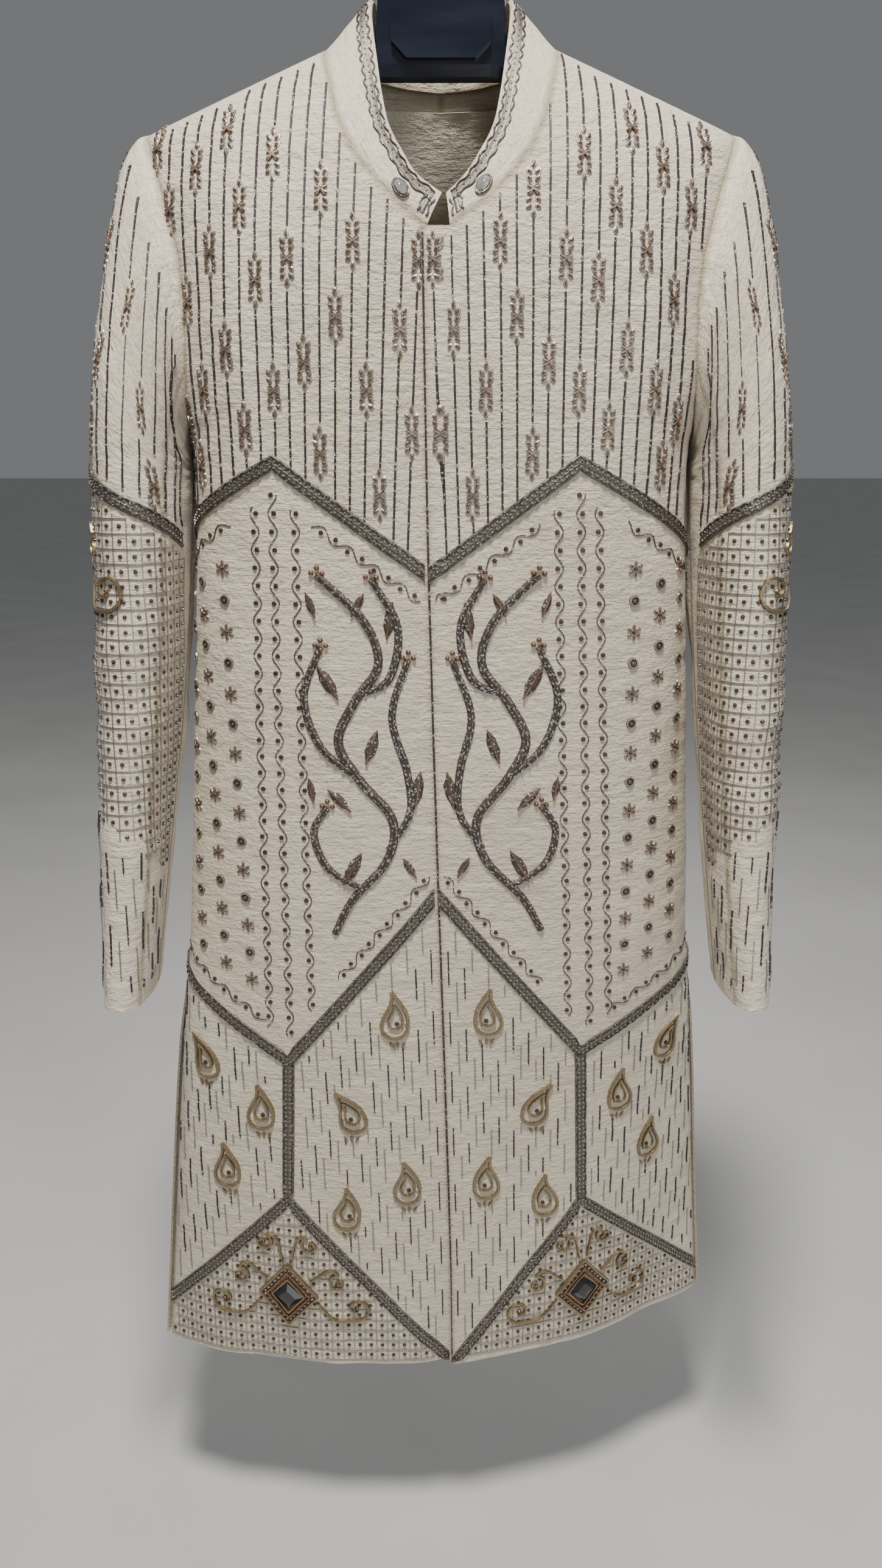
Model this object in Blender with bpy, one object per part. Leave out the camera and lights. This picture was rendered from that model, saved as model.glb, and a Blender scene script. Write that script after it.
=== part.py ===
"""A sherwani coat on its hanger, as solids. Metres, +Z up, the front faces -Y.

The origin is the top of the hook's inner bend. The wearer's left is +X. Every cloth piece is a wall between
an outer grid of points and the same grid moved in along its normals.
"""

import bpy
import numpy as np

for old in list(bpy.data.objects):
    bpy.data.objects.remove(old, do_unlink=True)

# Cloth walls and the gaps between pieces.
WALL = 0.0020
SLEEVE_WALL = 0.0016
COLLAR_WALL = 0.0030
LINING_WALL = 0.0010
SEAM_TRIM = 0.0002
SET_IN_TRIM = 0.0006
BAND_LIFT = (0.0004, 0.0016)
VINE_LIFT = (0.0004, 0.0026)
LEAF_LIFT = (0.0004, 0.0020)
FRAME_LIFT = (0.0004, 0.0032)

# Levels down the garment.
HIGH_SHOULDER = (0.081, -0.135)
SHOULDER_TIP = (0.214, -0.190)
UNDERARM_Z = -0.405
NECK_Z = -0.264
BACK_NECK_Z = -0.150
VENT_TOP_Z = -0.835
HEM_Z = -1.234
UNDERLAP = 0.030
CAP_DEPTH = {"front": 0.180, "back": 0.130}
TWIST = np.radians(7.8)
SWING_BACK = 0.009
TWIST_TOP_Z, TWIST_BOTTOM_Z = -0.40, -1.25

# Horizontal sections of the body, a row a level.
SECTION_COLUMNS = ("z", "half_width", "front", "back", "front_power", "back_power")
SECTIONS = np.array([
    (-0.090, 0.2300, 0.074, 0.078, 3.30, 3.3),
    (-0.190, 0.2240, 0.077, 0.078, 3.30, 3.3),
    (-0.231, 0.2160, 0.078, 0.078, 3.30, 3.3),
    (-0.279, 0.2080, 0.079, 0.077, 3.30, 3.3),
    (-0.311, 0.2040, 0.079, 0.076, 3.30, 3.3),
    (-0.364, 0.1990, 0.079, 0.073, 3.30, 3.3),
    (-0.405, 0.1920, 0.078, 0.070, 3.30, 3.3),
    (-0.468, 0.1930, 0.077, 0.065, 3.20, 3.3),
    (-0.567, 0.2000, 0.074, 0.061, 3.00, 3.2),
    (-0.755, 0.2145, 0.072, 0.061, 2.50, 3.0),
    (-0.835, 0.2215, 0.072, 0.060, 2.25, 2.8),
    (-0.982, 0.2380, 0.072, 0.057, 1.80, 2.5),
    (-1.260, 0.2640, 0.073, 0.052, 1.30, 2.2),
])

# Soft vertical folds of the body, a row a fold.
FOLD_COLUMNS = ("side", "a", "top", "bottom", "width", "depth")
FOLDS = [
    ("front", -0.150, -0.24, -0.47, 0.016, 0.0035),
    ("front", 0.156, -0.25, -0.46, 0.016, 0.0030),
    ("front", -0.120, -0.90, -1.30, 0.045, 0.0045),
    ("front", 0.128, -0.88, -1.30, 0.050, 0.0050),
    ("front", -0.215, -0.80, -1.30, 0.035, 0.0040),
    ("front", 0.215, -0.80, -1.30, 0.035, -0.0040),
    ("back", -0.150, -0.80, -1.30, 0.040, 0.0050),
    ("back", -0.065, -0.85, -1.30, 0.035, -0.0040),
    ("back", 0.070, -0.82, -1.30, 0.040, 0.0050),
    ("back", 0.165, -0.80, -1.30, 0.035, -0.0040),
]

# The lap edge of the wearer's left front, as x against z before the skirt swings round.
LAP_EDGE = np.array([(-0.264, -0.014), (-1.240, 0.000)])

# Seam lines as (x, z) on the body.
FRONT_NECK = [(0.030, -0.2475), (0.048, -0.230), (0.063, -0.211), (0.073, -0.189), (0.079, -0.162)]
BACK_NECK = [(0.030, -0.149), (0.055, -0.145), (0.073, -0.139)]
FRONT_ARMHOLE = [(0.204, -0.231), (0.197, -0.256), (0.191, -0.279), (0.189, -0.311), (0.1885, -0.345),
                 (0.190, -0.372), (0.1915, -0.393)]
BACK_ARMHOLE = [(0.206, -0.231), (0.200, -0.262), (0.196, -0.300), (0.194, -0.340), (0.193, -0.372),
                (0.192, -0.394)]

# Grid steps.
COLUMNS = 13
SKIRT_ROWS = 14
YOKE_ROWS = 15
CENTRE_ROWS = {"front": 5, "back": 10}

# The sleeve, a row a ring: outer and inner edge, half depth and the middle's y.
SLEEVE_COLUMNS = ("outer_x", "outer_z", "inner_x", "inner_z", "half_depth", "middle_y")
SLEEVE_RINGS = np.array([
    (0.214, -0.190, 0.1920, -0.405, 0.050, 0.000),
    (0.224, -0.193, 0.1926, -0.408, 0.052, 0.000),
    (0.233, -0.204, 0.1932, -0.411, 0.055, 0.000),
    (0.240, -0.222, 0.1938, -0.414, 0.058, 0.000),
    (0.247, -0.250, 0.1944, -0.417, 0.061, -0.001),
    (0.253, -0.286, 0.1950, -0.421, 0.065, -0.002),
    (0.259, -0.326, 0.1955, -0.426, 0.069, -0.004),
    (0.264, -0.368, 0.1960, -0.432, 0.072, -0.006),
    (0.267, -0.410, 0.1965, -0.440, 0.073, -0.009),
    (0.269, -0.450, 0.1975, -0.458, 0.073, -0.012),
    (0.270, -0.500, 0.2000, -0.500, 0.072, -0.018),
    (0.270, -0.555, 0.2030, -0.555, 0.069, -0.027),
    (0.269, -0.612, 0.2065, -0.612, 0.066, -0.038),
    (0.267, -0.670, 0.2110, -0.670, 0.062, -0.050),
    (0.266, -0.728, 0.2160, -0.728, 0.059, -0.062),
    (0.265, -0.784, 0.2210, -0.784, 0.056, -0.073),
    (0.264, -0.837, 0.2265, -0.837, 0.054, -0.083),
])
SLEEVE_POWER = 2.3
RIGHT_CUFF_OUT = 0.007
TOP_SLEEVE_STEPS = 11
BODY_CLEARANCE = 0.0035

# The collar's top edge as (x, y, z), from the front end round to the centre back.
COLLAR_TOP = [(0.0035, -0.064, -0.241), (0.017, -0.061, -0.228), (0.027, -0.057, -0.213),
              (0.036, -0.050, -0.196), (0.041, -0.041, -0.176), (0.0455, -0.026, -0.147),
              (0.051, 0.000, -0.104), (0.047, 0.020, -0.101), (0.030, 0.035, -0.107),
              (0.000, 0.041, -0.110)]
COLLAR_ENDS = {1: 0.005, -1: -0.010}
COLLAR_ROWS = 3
COLLAR_BULGE = 0.0025

# Raised bands on the wearer's left (1) and right (-1) front, as (a, z) on the flat cloth, with a from the
# centre line.
BAND_WIDTH = 0.012
YOKE_BAND = {1: [(-0.016, -0.5104), (0.1024, -0.4236), (0.245, -0.5026)],
             -1: [(0.000, -0.5132), (-0.1250, -0.4236), (-0.245, -0.4894)]}
HIP_BAND = {1: [(-0.010, -0.7627), (0.1172, -0.9204), (0.260, -0.8446)],
            -1: [(0.000, -0.7588), (-0.1379, -0.9199), (-0.260, -0.8356)]}
DROP_BAND = {1: [(0.1175, -0.9300), (0.1225, -1.0670)],
             -1: [(-0.1383, -0.9300), (-0.1450, -1.0500)]}
HEM_BAND = {1: [(0.000, -1.2390), (0.1227, -1.0778), (0.290, -1.2238)],
            -1: [(0.000, -1.2362), (-0.1454, -1.0607), (-0.290, -1.2094)]}
SLEEVE_BAND = [(-0.125, -0.468), (0.000, -0.423), (0.125, -0.468)]

# The raised vine on each front: a stem and its leaves, as (out from the lap edge, z), and then each leaf's
# angle in degrees and its length.
VINE_WIDTH = 0.0065
VINE_LEAF_WIDTH = 0.013
VINE_STEM = [(0.086, -0.800), (0.070, -0.770), (0.040, -0.735), (0.034, -0.700), (0.058, -0.668),
             (0.074, -0.636), (0.060, -0.604), (0.040, -0.574), (0.050, -0.540), (0.084, -0.505)]
VINE_LEAVES = [
    (0.068, -0.742, 120, 0.034),
    (0.017, -0.690, 100, 0.034),
    (0.048, -0.640, 110, 0.032),
    (0.080, -0.588, 60, 0.034),
    (0.028, -0.540, 100, 0.032),
]

HEM_STONE = {1: (0.1267, -1.1755), -1: (-0.1487, -1.1582)}
SLEEVE_STONE_Z = -0.500
STONE_FRAME_HALF = {"hem": 0.0255, "sleeve": 0.019}
STONE_HALF = {"hem": 0.0130, "sleeve": 0.0100}
STONE_HEIGHT = 0.006

STUD_RADIUS = 0.0045
STUD_HEIGHT = 0.0028
STUD_LIFT = 0.0006

# The hanger's body along x. Its arms lie just under the shoulder seams and carry the coat.
HANGER_COLUMNS = ("x", "top", "bottom", "half_depth", "power")
HANGER = np.array([
    (0.000, -0.0880, -0.1560, 0.0090, 4.0),
    (0.036, -0.0880, -0.1560, 0.0088, 4.0),
    (0.0455, -0.0950, -0.1560, 0.0086, 4.0),
    (0.0480, -0.1320, -0.1570, 0.0088, 3.0),
    (0.060, -0.1410, -0.1590, 0.0095, 2.4),
    (0.080, -0.1460, -0.1650, 0.0105, 2.0),
    (0.104, -0.1487, -0.1740, 0.0130, 2.0),
    (0.150, -0.1678, -0.1910, 0.0140, 2.0),
    (0.176, -0.1787, -0.2030, 0.0150, 2.0),
    (0.187, -0.1890, -0.2060, 0.0110, 2.0),
])
HANGER_SIDES = 12
PLATE_HALF = (0.036, 0.021)
PLATE_MIDDLE_Z = -0.1220
PLATE_CHAMFER = 0.011
PLATE_DEPTH = (-0.0093, -0.0133)
HOOK_INNER_RADIUS = 0.020
HOOK_WIRE = 0.0019
HOOK_SIDES = 8

ROW_STEP = 0.005
ROW_Z = np.arange(-0.090, -1.2601, -ROW_STEP)
SHARES = np.linspace(0, 1, 81)


def smoothstep(t):
    t = np.clip(t, 0, 1)
    return t * t * (3 - 2 * t)


def unit(v):
    return v / np.maximum(np.linalg.norm(v, axis=-1, keepdims=True), 1e-12)


def section_value(name, z):
    """A named column of SECTIONS at any height, with its corners rounded off."""
    column = SECTIONS[:, SECTION_COLUMNS.index(name)]
    rows = np.interp(-ROW_Z, -SECTIONS[:, 0], column)
    kernel = np.hanning(15)[1:-1]
    rows = np.convolve(np.pad(rows, 6, mode="edge"), kernel / kernel.sum(), mode="valid")
    return np.interp(-np.asarray(z, float), -ROW_Z, rows)


def shoulder_line(x):
    """The height of the shoulder seam above each x."""
    x = np.abs(x)
    slope = (SHOULDER_TIP[1] - HIGH_SHOULDER[1]) / (SHOULDER_TIP[0] - HIGH_SHOULDER[0])
    outside = HIGH_SHOULDER[1] + slope * (x - HIGH_SHOULDER[0])
    inside = HIGH_SHOULDER[1] + 0.2 * (HIGH_SHOULDER[0] - x)
    return np.where(x > HIGH_SHOULDER[0], outside, inside)


def section_point(side, angle, z):
    """x and y of the section at an angle from the centre line (0) to the side (a quarter turn)."""
    power = section_value(side + "_power", z)
    x = section_value("half_width", z) * np.sin(angle) ** (2 / power)
    share = np.clip((shoulder_line(x) - z) / CAP_DEPTH[side], 0, 1)
    cap = np.sqrt(1 - (1 - share) ** 2)
    y = section_value(side, z) * np.cos(angle) ** (2 / power) * cap
    return x, -y if side == "front" else y


def arc_tables(side):
    """For each row, its length from the centre line to the side, and the angle at each share of it."""
    angle = np.linspace(0, np.pi / 2, 321)
    lengths = []
    angles = []
    for z in ROW_Z:
        x, y = section_point(side, angle, z)
        run = np.concatenate([[0], np.cumsum(np.hypot(np.diff(x), np.diff(y)))])
        lengths.append(run[-1])
        angles.append(np.interp(SHARES * run[-1], run, angle))
    return np.array(lengths), np.array(angles)


TABLES = {side: arc_tables(side) for side in ("front", "back")}


def side_length(side, z):
    return np.interp(-np.asarray(z, float), -ROW_Z, TABLES[side][0])


def plain_point(side, a, z):
    """The body's surface at the flat place (a, z), before folds."""
    a, z = np.broadcast_arrays(np.asarray(a, float), np.asarray(z, float))
    share = np.clip(np.abs(a) / side_length(side, z), 0, 1) * (len(SHARES) - 1)
    row = np.clip((ROW_Z[0] - z) / ROW_STEP, 0, len(ROW_Z) - 1.001)
    i, j = row.astype(int), np.minimum(share.astype(int), len(SHARES) - 2)
    u, v = row - i, share - j
    angles = TABLES[side][1]
    near = angles[i, j] * (1 - v) + angles[i, j + 1] * v
    far = angles[i + 1, j] * (1 - v) + angles[i + 1, j + 1] * v
    x, y = section_point(side, near * (1 - u) + far * u, z)
    return np.stack([x * np.sign(a), y, z], axis=-1)


def fold_height(side, a, z):
    total = np.zeros(np.broadcast(a, z).shape)
    for row in FOLDS:
        fold = dict(zip(FOLD_COLUMNS, row))
        if fold["side"] != side:
            continue
        down = (fold["top"] - z) / (fold["top"] - fold["bottom"])
        strength = smoothstep(down) if fold["bottom"] < -1.2 else np.sin(np.pi * np.clip(down, 0, 1)) ** 2
        total += fold["depth"] * strength * np.exp(-(((a - fold["a"]) / fold["width"]) ** 2))
    return total


def surface(side, a, z, sunk=0.0):
    """The outer face of the body at (a, z), moved in by sunk."""
    point = plain_point(side, a, z)
    step = plain_point(side, a + 0.001, z) - plain_point(side, a - 0.001, z)
    turn = -1 if side == "back" else 1
    normal = unit(np.stack([turn * step[..., 1], -turn * step[..., 0], np.zeros(step.shape[:-1])], axis=-1))
    point = point + normal * (fold_height(side, a, z) - sunk)[..., None]
    if side == "back":
        edge = (np.abs(a) / side_length(side, z)) ** 4 * smoothstep((VENT_TOP_Z - z) / 0.10)
        point = point + np.stack([0.005 * edge * np.sign(a), 0.0035 * edge, 0 * edge], axis=-1)
    return point


def flat_of(side, x, z):
    """The flat a of the body point that has this x and z."""
    power = section_value(side + "_power", z)
    share = np.clip(np.abs(x) / section_value("half_width", z), 0, 1)
    target = np.arcsin(share ** (power / 2))
    row = np.clip((ROW_Z[0] - z) / ROW_STEP, 0, len(ROW_Z) - 1.001)
    i = int(row)
    near = np.interp(target, TABLES[side][1][i], SHARES)
    far = np.interp(target, TABLES[side][1][i + 1], SHARES)
    return np.sign(x) * (near * (1 - row + i) + far * (row - i)) * side_length(side, z)


def hang(points):
    """The skirt swings round a little and the wearer's left side falls back, as in the photo."""
    share = smoothstep((TWIST_TOP_Z - points[..., 2]) / (TWIST_TOP_Z - TWIST_BOTTOM_Z))
    c, s = np.cos(share * TWIST), np.sin(share * TWIST)
    x, y, z = np.moveaxis(points, -1, 0)
    return np.stack([x * c - y * s, x * s + y * c + share * SWING_BACK, z], axis=-1)


def unhang(points):
    share = smoothstep((TWIST_TOP_Z - points[..., 2]) / (TWIST_TOP_Z - TWIST_BOTTOM_Z))
    c, s = np.cos(share * TWIST), np.sin(share * TWIST)
    x, y, z = np.moveaxis(points, -1, 0)
    y = y - share * SWING_BACK
    return np.stack([x * c + y * s, -x * s + y * c, z], axis=-1)


def along(side, corners, steps):
    """steps + 1 flat places evenly spaced along the line through corners, measured on the body."""
    corners = np.array(corners, float)
    knots = np.arange(len(corners))
    fine = np.linspace(0, len(corners) - 1, 400)
    flat = np.stack([np.interp(fine, knots, corners[:, k]) for k in (0, 1)], axis=-1)
    places = surface(side, flat[:, 0], flat[:, 1])
    run = np.concatenate([[0], np.cumsum(np.linalg.norm(np.diff(places, axis=0), axis=1))])
    at = np.linspace(0, run[-1], steps + 1)
    return np.stack([np.interp(at, run, flat[:, k]) for k in (0, 1)], axis=-1)


def flats(side, sign, places):
    return [(flat_of(side, sign * x, z), z) for x, z in places]


def edge_a(side, sign, z):
    """The flat a of a panel's centre edge: the lap edge, the hidden underlap edge, or the back's seam."""
    if side == "back":
        return 0 * z
    lap = np.interp(-z, -LAP_EDGE[:, 0], LAP_EDGE[:, 1])
    return lap if sign > 0 else lap + UNDERLAP


def centre_line(side, sign):
    """The panel's edge from the underarm level up the centre and round the neck to the high shoulder."""
    steps = CENTRE_ROWS[side]
    if side == "back":
        centre = np.stack([np.zeros(steps + 1), np.linspace(UNDERARM_Z, BACK_NECK_Z, steps + 1)], axis=-1)
        neck = along(side, flats(side, sign, [(0.0, BACK_NECK_Z)] + BACK_NECK + [HIGH_SHOULDER]),
                     YOKE_ROWS - steps)
        neck[0, 0] = 0.0
        return np.concatenate([centre, neck[1:]])
    neck_z = NECK_Z if sign > 0 else NECK_Z - 0.002
    z = np.linspace(UNDERARM_Z, neck_z, steps + 1)
    centre = np.stack([edge_a(side, sign, z), z], axis=-1)
    end = (COLLAR_ENDS[sign], NECK_Z)
    start = [(end[0], end[1])] + flats(side, sign, FRONT_NECK + [HIGH_SHOULDER])
    neck = along(side, start, YOKE_ROWS - steps - 1)
    return np.concatenate([centre, neck])


def armhole_line(side, sign):
    holes = FRONT_ARMHOLE if side == "front" else BACK_ARMHOLE
    under = (sign * side_length(side, UNDERARM_Z), UNDERARM_Z)
    tip = flats(side, sign, [SHOULDER_TIP])
    return along(side, [under] + flats(side, sign, holes[::-1]) + tip, YOKE_ROWS)


def coons(left, right, bottom, top):
    """A flat patch between four edges that share their corners, a row a step of left and right."""
    rows, columns = len(left), len(bottom)
    v = np.linspace(0, 1, rows)[:, None, None]
    u = np.linspace(0, 1, columns)[None, :, None]
    across = (1 - u) * left[:, None] + u * right[:, None]
    upward = (1 - v) * bottom[None] + v * top[None]
    corners = ((1 - u) * (1 - v) * left[0] + u * (1 - v) * right[0]
               + (1 - u) * v * left[-1] + u * v * right[-1])
    return across + upward - corners


def body_grid(side, sign):
    """The flat places of a body panel: rows from the hem up to the neck and shoulder, columns from the
    centre to the side."""
    u = np.linspace(0, 1, COLUMNS + 1)
    skirt = []
    for share in np.linspace(0, 1, SKIRT_ROWS + 1)[:-1]:
        z = HEM_Z + share * (UNDERARM_Z - HEM_Z)
        drop = -0.004 * (1 - share) * (1 - u) if (side, sign) == ("front", 1) else 0 * u
        a = edge_a(side, sign, np.array(z)) * (1 - u) + sign * side_length(side, z) * u
        skirt.append(np.stack([a, z + drop], axis=-1))
    left = centre_line(side, sign)
    right = armhole_line(side, sign)
    bottom = np.stack([left[0, 0] * (1 - u) + right[0, 0] * u, np.full(len(u), UNDERARM_Z)], axis=-1)
    x = sign * (HIGH_SHOULDER[0] * (1 - u) + SHOULDER_TIP[0] * u)
    top = np.array([(flat_of(side, value, shoulder_line(value)), shoulder_line(value)) for value in x])
    left[-1], right[-1] = top[0], top[-1]
    return np.concatenate([np.array(skirt), coons(left, right, bottom, top)]), x


def grid_normals(points, sign, closed=False):
    """Outward normals of a grid whose rows go up and whose columns go round."""
    if closed:
        ahead, behind = np.roll(points, -1, axis=1), np.roll(points, 1, axis=1)
        across = ahead - behind
    else:
        across = np.gradient(points, axis=1)
    upward = np.gradient(points, axis=0)
    return sign * unit(np.cross(across, upward))


def body_panel(side, sign):
    """Points, normals and flat places of a body panel."""
    flat, top_x = body_grid(side, sign)
    sunk = np.zeros(flat.shape[:2])
    if (side, sign) == ("front", -1):
        lap = edge_a("front", 1, flat[..., 1])
        sunk = 0.0038 * smoothstep((flat[..., 0] - lap + 0.030) / 0.024)
    points = surface(side, flat[..., 0], flat[..., 1], sunk)
    points[-1] = np.stack([top_x, 0 * top_x, shoulder_line(top_x)], axis=-1)
    normals = grid_normals(points, sign if side == "front" else -sign)
    normals[-1, :, 1] = 0
    normals[:SKIRT_ROWS + 1, -1, 1:] = 0
    if side == "back":
        normals[:SKIRT_ROWS + CENTRE_ROWS["back"], 0, 0] = 0
    return {"points": points, "normals": unit(normals), "flat": flat}


def ring_column(name):
    return SLEEVE_RINGS[:, SLEEVE_COLUMNS.index(name)]


def sleeve_grid(sign, armhole):
    """Rings down the sleeve, from the armhole's own points to the cuff. Column 0 is the shoulder tip, the
    front comes next, the middle column is the underarm, and the back follows."""
    turns = np.linspace(0, 2 * np.pi, 2 * YOKE_ROWS, endpoint=False)
    c, s = np.cos(turns), np.sin(turns)
    reach = (1 + np.sign(c) * np.abs(c) ** (2 / SLEEVE_POWER)) / 2
    depth = -np.sign(s) * np.abs(s) ** (2 / SLEEVE_POWER)
    outer = np.stack([ring_column("outer_x"), ring_column("outer_z")], axis=-1)
    inner = np.stack([ring_column("inner_x"), ring_column("inner_z")], axis=-1)
    xz = inner[:, None] + (outer - inner)[:, None] * reach[None, :, None]
    y = ring_column("middle_y")[:, None] + ring_column("half_depth")[:, None] * depth[None]
    rings = np.stack([sign * xz[..., 0], y, xz[..., 1]], axis=-1)
    if sign < 0:
        rings[..., 0] -= RIGHT_CUFF_OUT * smoothstep((-0.50 - rings[..., 2]) / 0.34)
    fade = 1 - smoothstep(np.arange(len(rings)) / 7)
    rings = rings + fade[:, None, None] * (armhole - rings[0])[None]
    free = unhang(rings[1:])
    near = section_clear(free)
    push = np.maximum(near - sign * free[..., 0], 0)
    rings[1:, :, 0] += sign * push
    return rings


def section_clear(points):
    """How far out from the centre plane a sleeve point must be to clear the body, in the unswung frame."""
    y, z = points[..., 1], points[..., 2]
    power = np.where(y < 0, section_value("front_power", z), section_value("back_power", z))
    depth = np.where(y < 0, section_value("front", z), section_value("back", z))
    share = np.clip(np.abs(y) / depth, 0, 1)
    width = section_value("half_width", z) * (1 - share ** power) ** (1 / power)
    ease = BODY_CLEARANCE * smoothstep((UNDERARM_Z - z) / 0.03)
    return np.where((z < UNDERARM_Z) & (share < 1), width + ease, 0)


def share_normals(first, second):
    """The mean of two pieces' normals along their seam, written to both."""
    mean = unit(first + second)
    first[...] = mean
    second[...] = mean


def add_object(name, points, faces, look):
    mesh = bpy.data.meshes.new(name)
    mesh.from_pydata([tuple(p) for p in points], [], [tuple(int(i) for i in f) for f in faces])
    mesh.validate()
    mesh.update()
    mesh.materials.append(LOOKS[look])
    obj = bpy.data.objects.new(name, mesh)
    bpy.context.scene.collection.objects.link(obj)
    return obj


def make_look(name, colour, metallic, roughness):
    material = bpy.data.materials.new(name)
    material.use_nodes = True
    shader = material.node_tree.nodes["Principled BSDF"]
    shader.inputs["Base Color"].default_value = (*colour, 1)
    shader.inputs["Metallic"].default_value = metallic
    shader.inputs["Roughness"].default_value = roughness
    return material


LOOKS = {
    "silk": make_look("ivory_silk", (0.72, 0.66, 0.55), 0.0, 0.7),
    "lining": make_look("beige_lining", (0.62, 0.56, 0.42), 0.0, 0.8),
    "zari": make_look("dull_zari", (0.17, 0.14, 0.11), 0.3, 0.6),
    "cord": make_look("taupe_cord", (0.12, 0.10, 0.09), 0.2, 0.6),
    "frame": make_look("copper_frame", (0.42, 0.28, 0.16), 0.9, 0.35),
    "stone": make_look("black_stone", (0.02, 0.02, 0.02), 0.0, 0.1),
    "clear": make_look("clear_stone", (0.75, 0.75, 0.75), 0.0, 0.1),
    "hanger": make_look("navy_plastic", (0.01, 0.014, 0.025), 0.0, 0.2),
    "steel": make_look("hook_steel", (0.7, 0.7, 0.72), 1.0, 0.25),
}


def outline_edges(faces):
    """The directed edges that only one face has."""
    seen = {}
    for face in faces:
        for k, start in enumerate(face):
            end = face[(k + 1) % len(face)]
            seen[(start, end)] = True
    return [edge for edge in seen if (edge[1], edge[0]) not in seen]


def closed_wall(name, outer, inner, faces, look, swung):
    """A closed solid between two faces that share their layout, with sides along their outline."""
    count = len(outer)
    points = np.concatenate([outer, inner])
    if swung:
        points = hang(points)
    sides = [(start, start + count, end + count, end) for start, end in outline_edges(faces)]
    inside = [tuple(i + count for i in face[::-1]) for face in faces]
    faces = [tuple(face) for face in faces] + inside + sides
    volume = 0.0
    for face in faces:
        for k in range(1, len(face) - 1):
            volume += np.linalg.det(points[[face[0], face[k], face[k + 1]]])
    if volume < 0:
        faces = [face[::-1] for face in faces]
    return add_object(name, points, faces, look)


def trimmed(points, edges, trim):
    """The same grid with its named edges pulled in by trim."""
    points = points.copy()
    for edge in edges:
        line, inside = {
            "start": (np.s_[:, 0], np.s_[:, 1]),
            "end": (np.s_[:, -1], np.s_[:, -2]),
            "bottom": (np.s_[0], np.s_[1]),
            "top": (np.s_[-1], np.s_[-2]),
        }[edge]
        points[line] += trim * unit(points[inside] - points[line])
    return points


def grid_faces(rows, columns):
    """Triangles of a grid, each square cut along the same diagonal."""
    faces = []
    for i in range(rows - 1):
        for j in range(columns - 1):
            a, b = i * columns + j, i * columns + j + 1
            c, d = b + columns, a + columns
            faces.append((a, b, c))
            faces.append((a, c, d))
    return faces


def cloth(name, panel, wall, look, edges, trim=SEAM_TRIM, swung=True):
    """A cloth wall behind a panel's points, with its seamed edges trimmed."""
    rows, columns = panel["points"].shape[:2]
    outer = trimmed(panel["points"], edges, trim)
    inner = trimmed(panel["points"] - wall * panel["normals"], edges, trim)
    faces = grid_faces(rows, columns)
    return closed_wall(name, outer.reshape(-1, 3), inner.reshape(-1, 3), faces, look, swung)


def clip(polygon, outline):
    """A polygon cut down to a convex outline, both as flat places, the outline anticlockwise."""
    for start, end in zip(outline, np.roll(outline, -1, axis=0)):
        if not len(polygon):
            break
        direction = end - start
        side = direction[0] * (polygon[:, 1] - start[1]) - direction[1] * (polygon[:, 0] - start[0])
        kept = []
        for k, place in enumerate(polygon):
            after = (k + 1) % len(polygon)
            if side[k] >= 0:
                kept.append(place)
            if (side[k] >= 0) != (side[after] >= 0):
                t = side[k] / (side[k] - side[after])
                kept.append(place + t * (polygon[after] - place))
        polygon = np.array(kept)
    return polygon


def anticlockwise(outline):
    outline = np.asarray(outline, float)
    x, y = outline[:, 0], outline[:, 1]
    area = np.sum(x * np.roll(y, -1) - y * np.roll(x, -1))
    return outline if area > 0 else outline[::-1]


def ribbon(path, width):
    """The convex pieces of a ribbon along a flat path, mitred where it turns. width may taper."""
    path = np.asarray(path, float)
    width = np.broadcast_to(width, len(path))
    steps = unit(np.diff(path, axis=0))
    turns = np.concatenate([steps[:1], unit(steps[:-1] + steps[1:]), steps[-1:]])
    normals = np.stack([-turns[:, 1], turns[:, 0]], axis=-1)
    straight = np.stack([-steps[:, 1], steps[:, 0]], axis=-1)
    cosines = np.concatenate([[1], np.sum(normals[1:-1] * straight[1:], axis=1), [1]])
    offset = normals * (width / 2 / cosines)[:, None]
    left, right = path + offset, path - offset
    return [anticlockwise([right[k], right[k + 1], left[k + 1], left[k]]) for k in range(len(path) - 1)]


def smooth_path(corners, steps):
    """A rounded path through corners."""
    corners = np.asarray(corners, float)
    ends = [2 * corners[0] - corners[1]], corners, [2 * corners[-1] - corners[-2]]
    knots = np.concatenate(ends)
    out = []
    for k in range(1, len(knots) - 2):
        before, start, end, after = knots[k - 1:k + 3]
        for t in np.arange(steps) / steps:
            slope, bend = end - before, 2 * before - 5 * start + 4 * end - after
            twist = 3 * start - before - 3 * end + after
            out.append(start + (slope * t + bend * t ** 2 + twist * t ** 3) / 2)
    out.append(corners[-1])
    return np.array(out)


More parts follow.
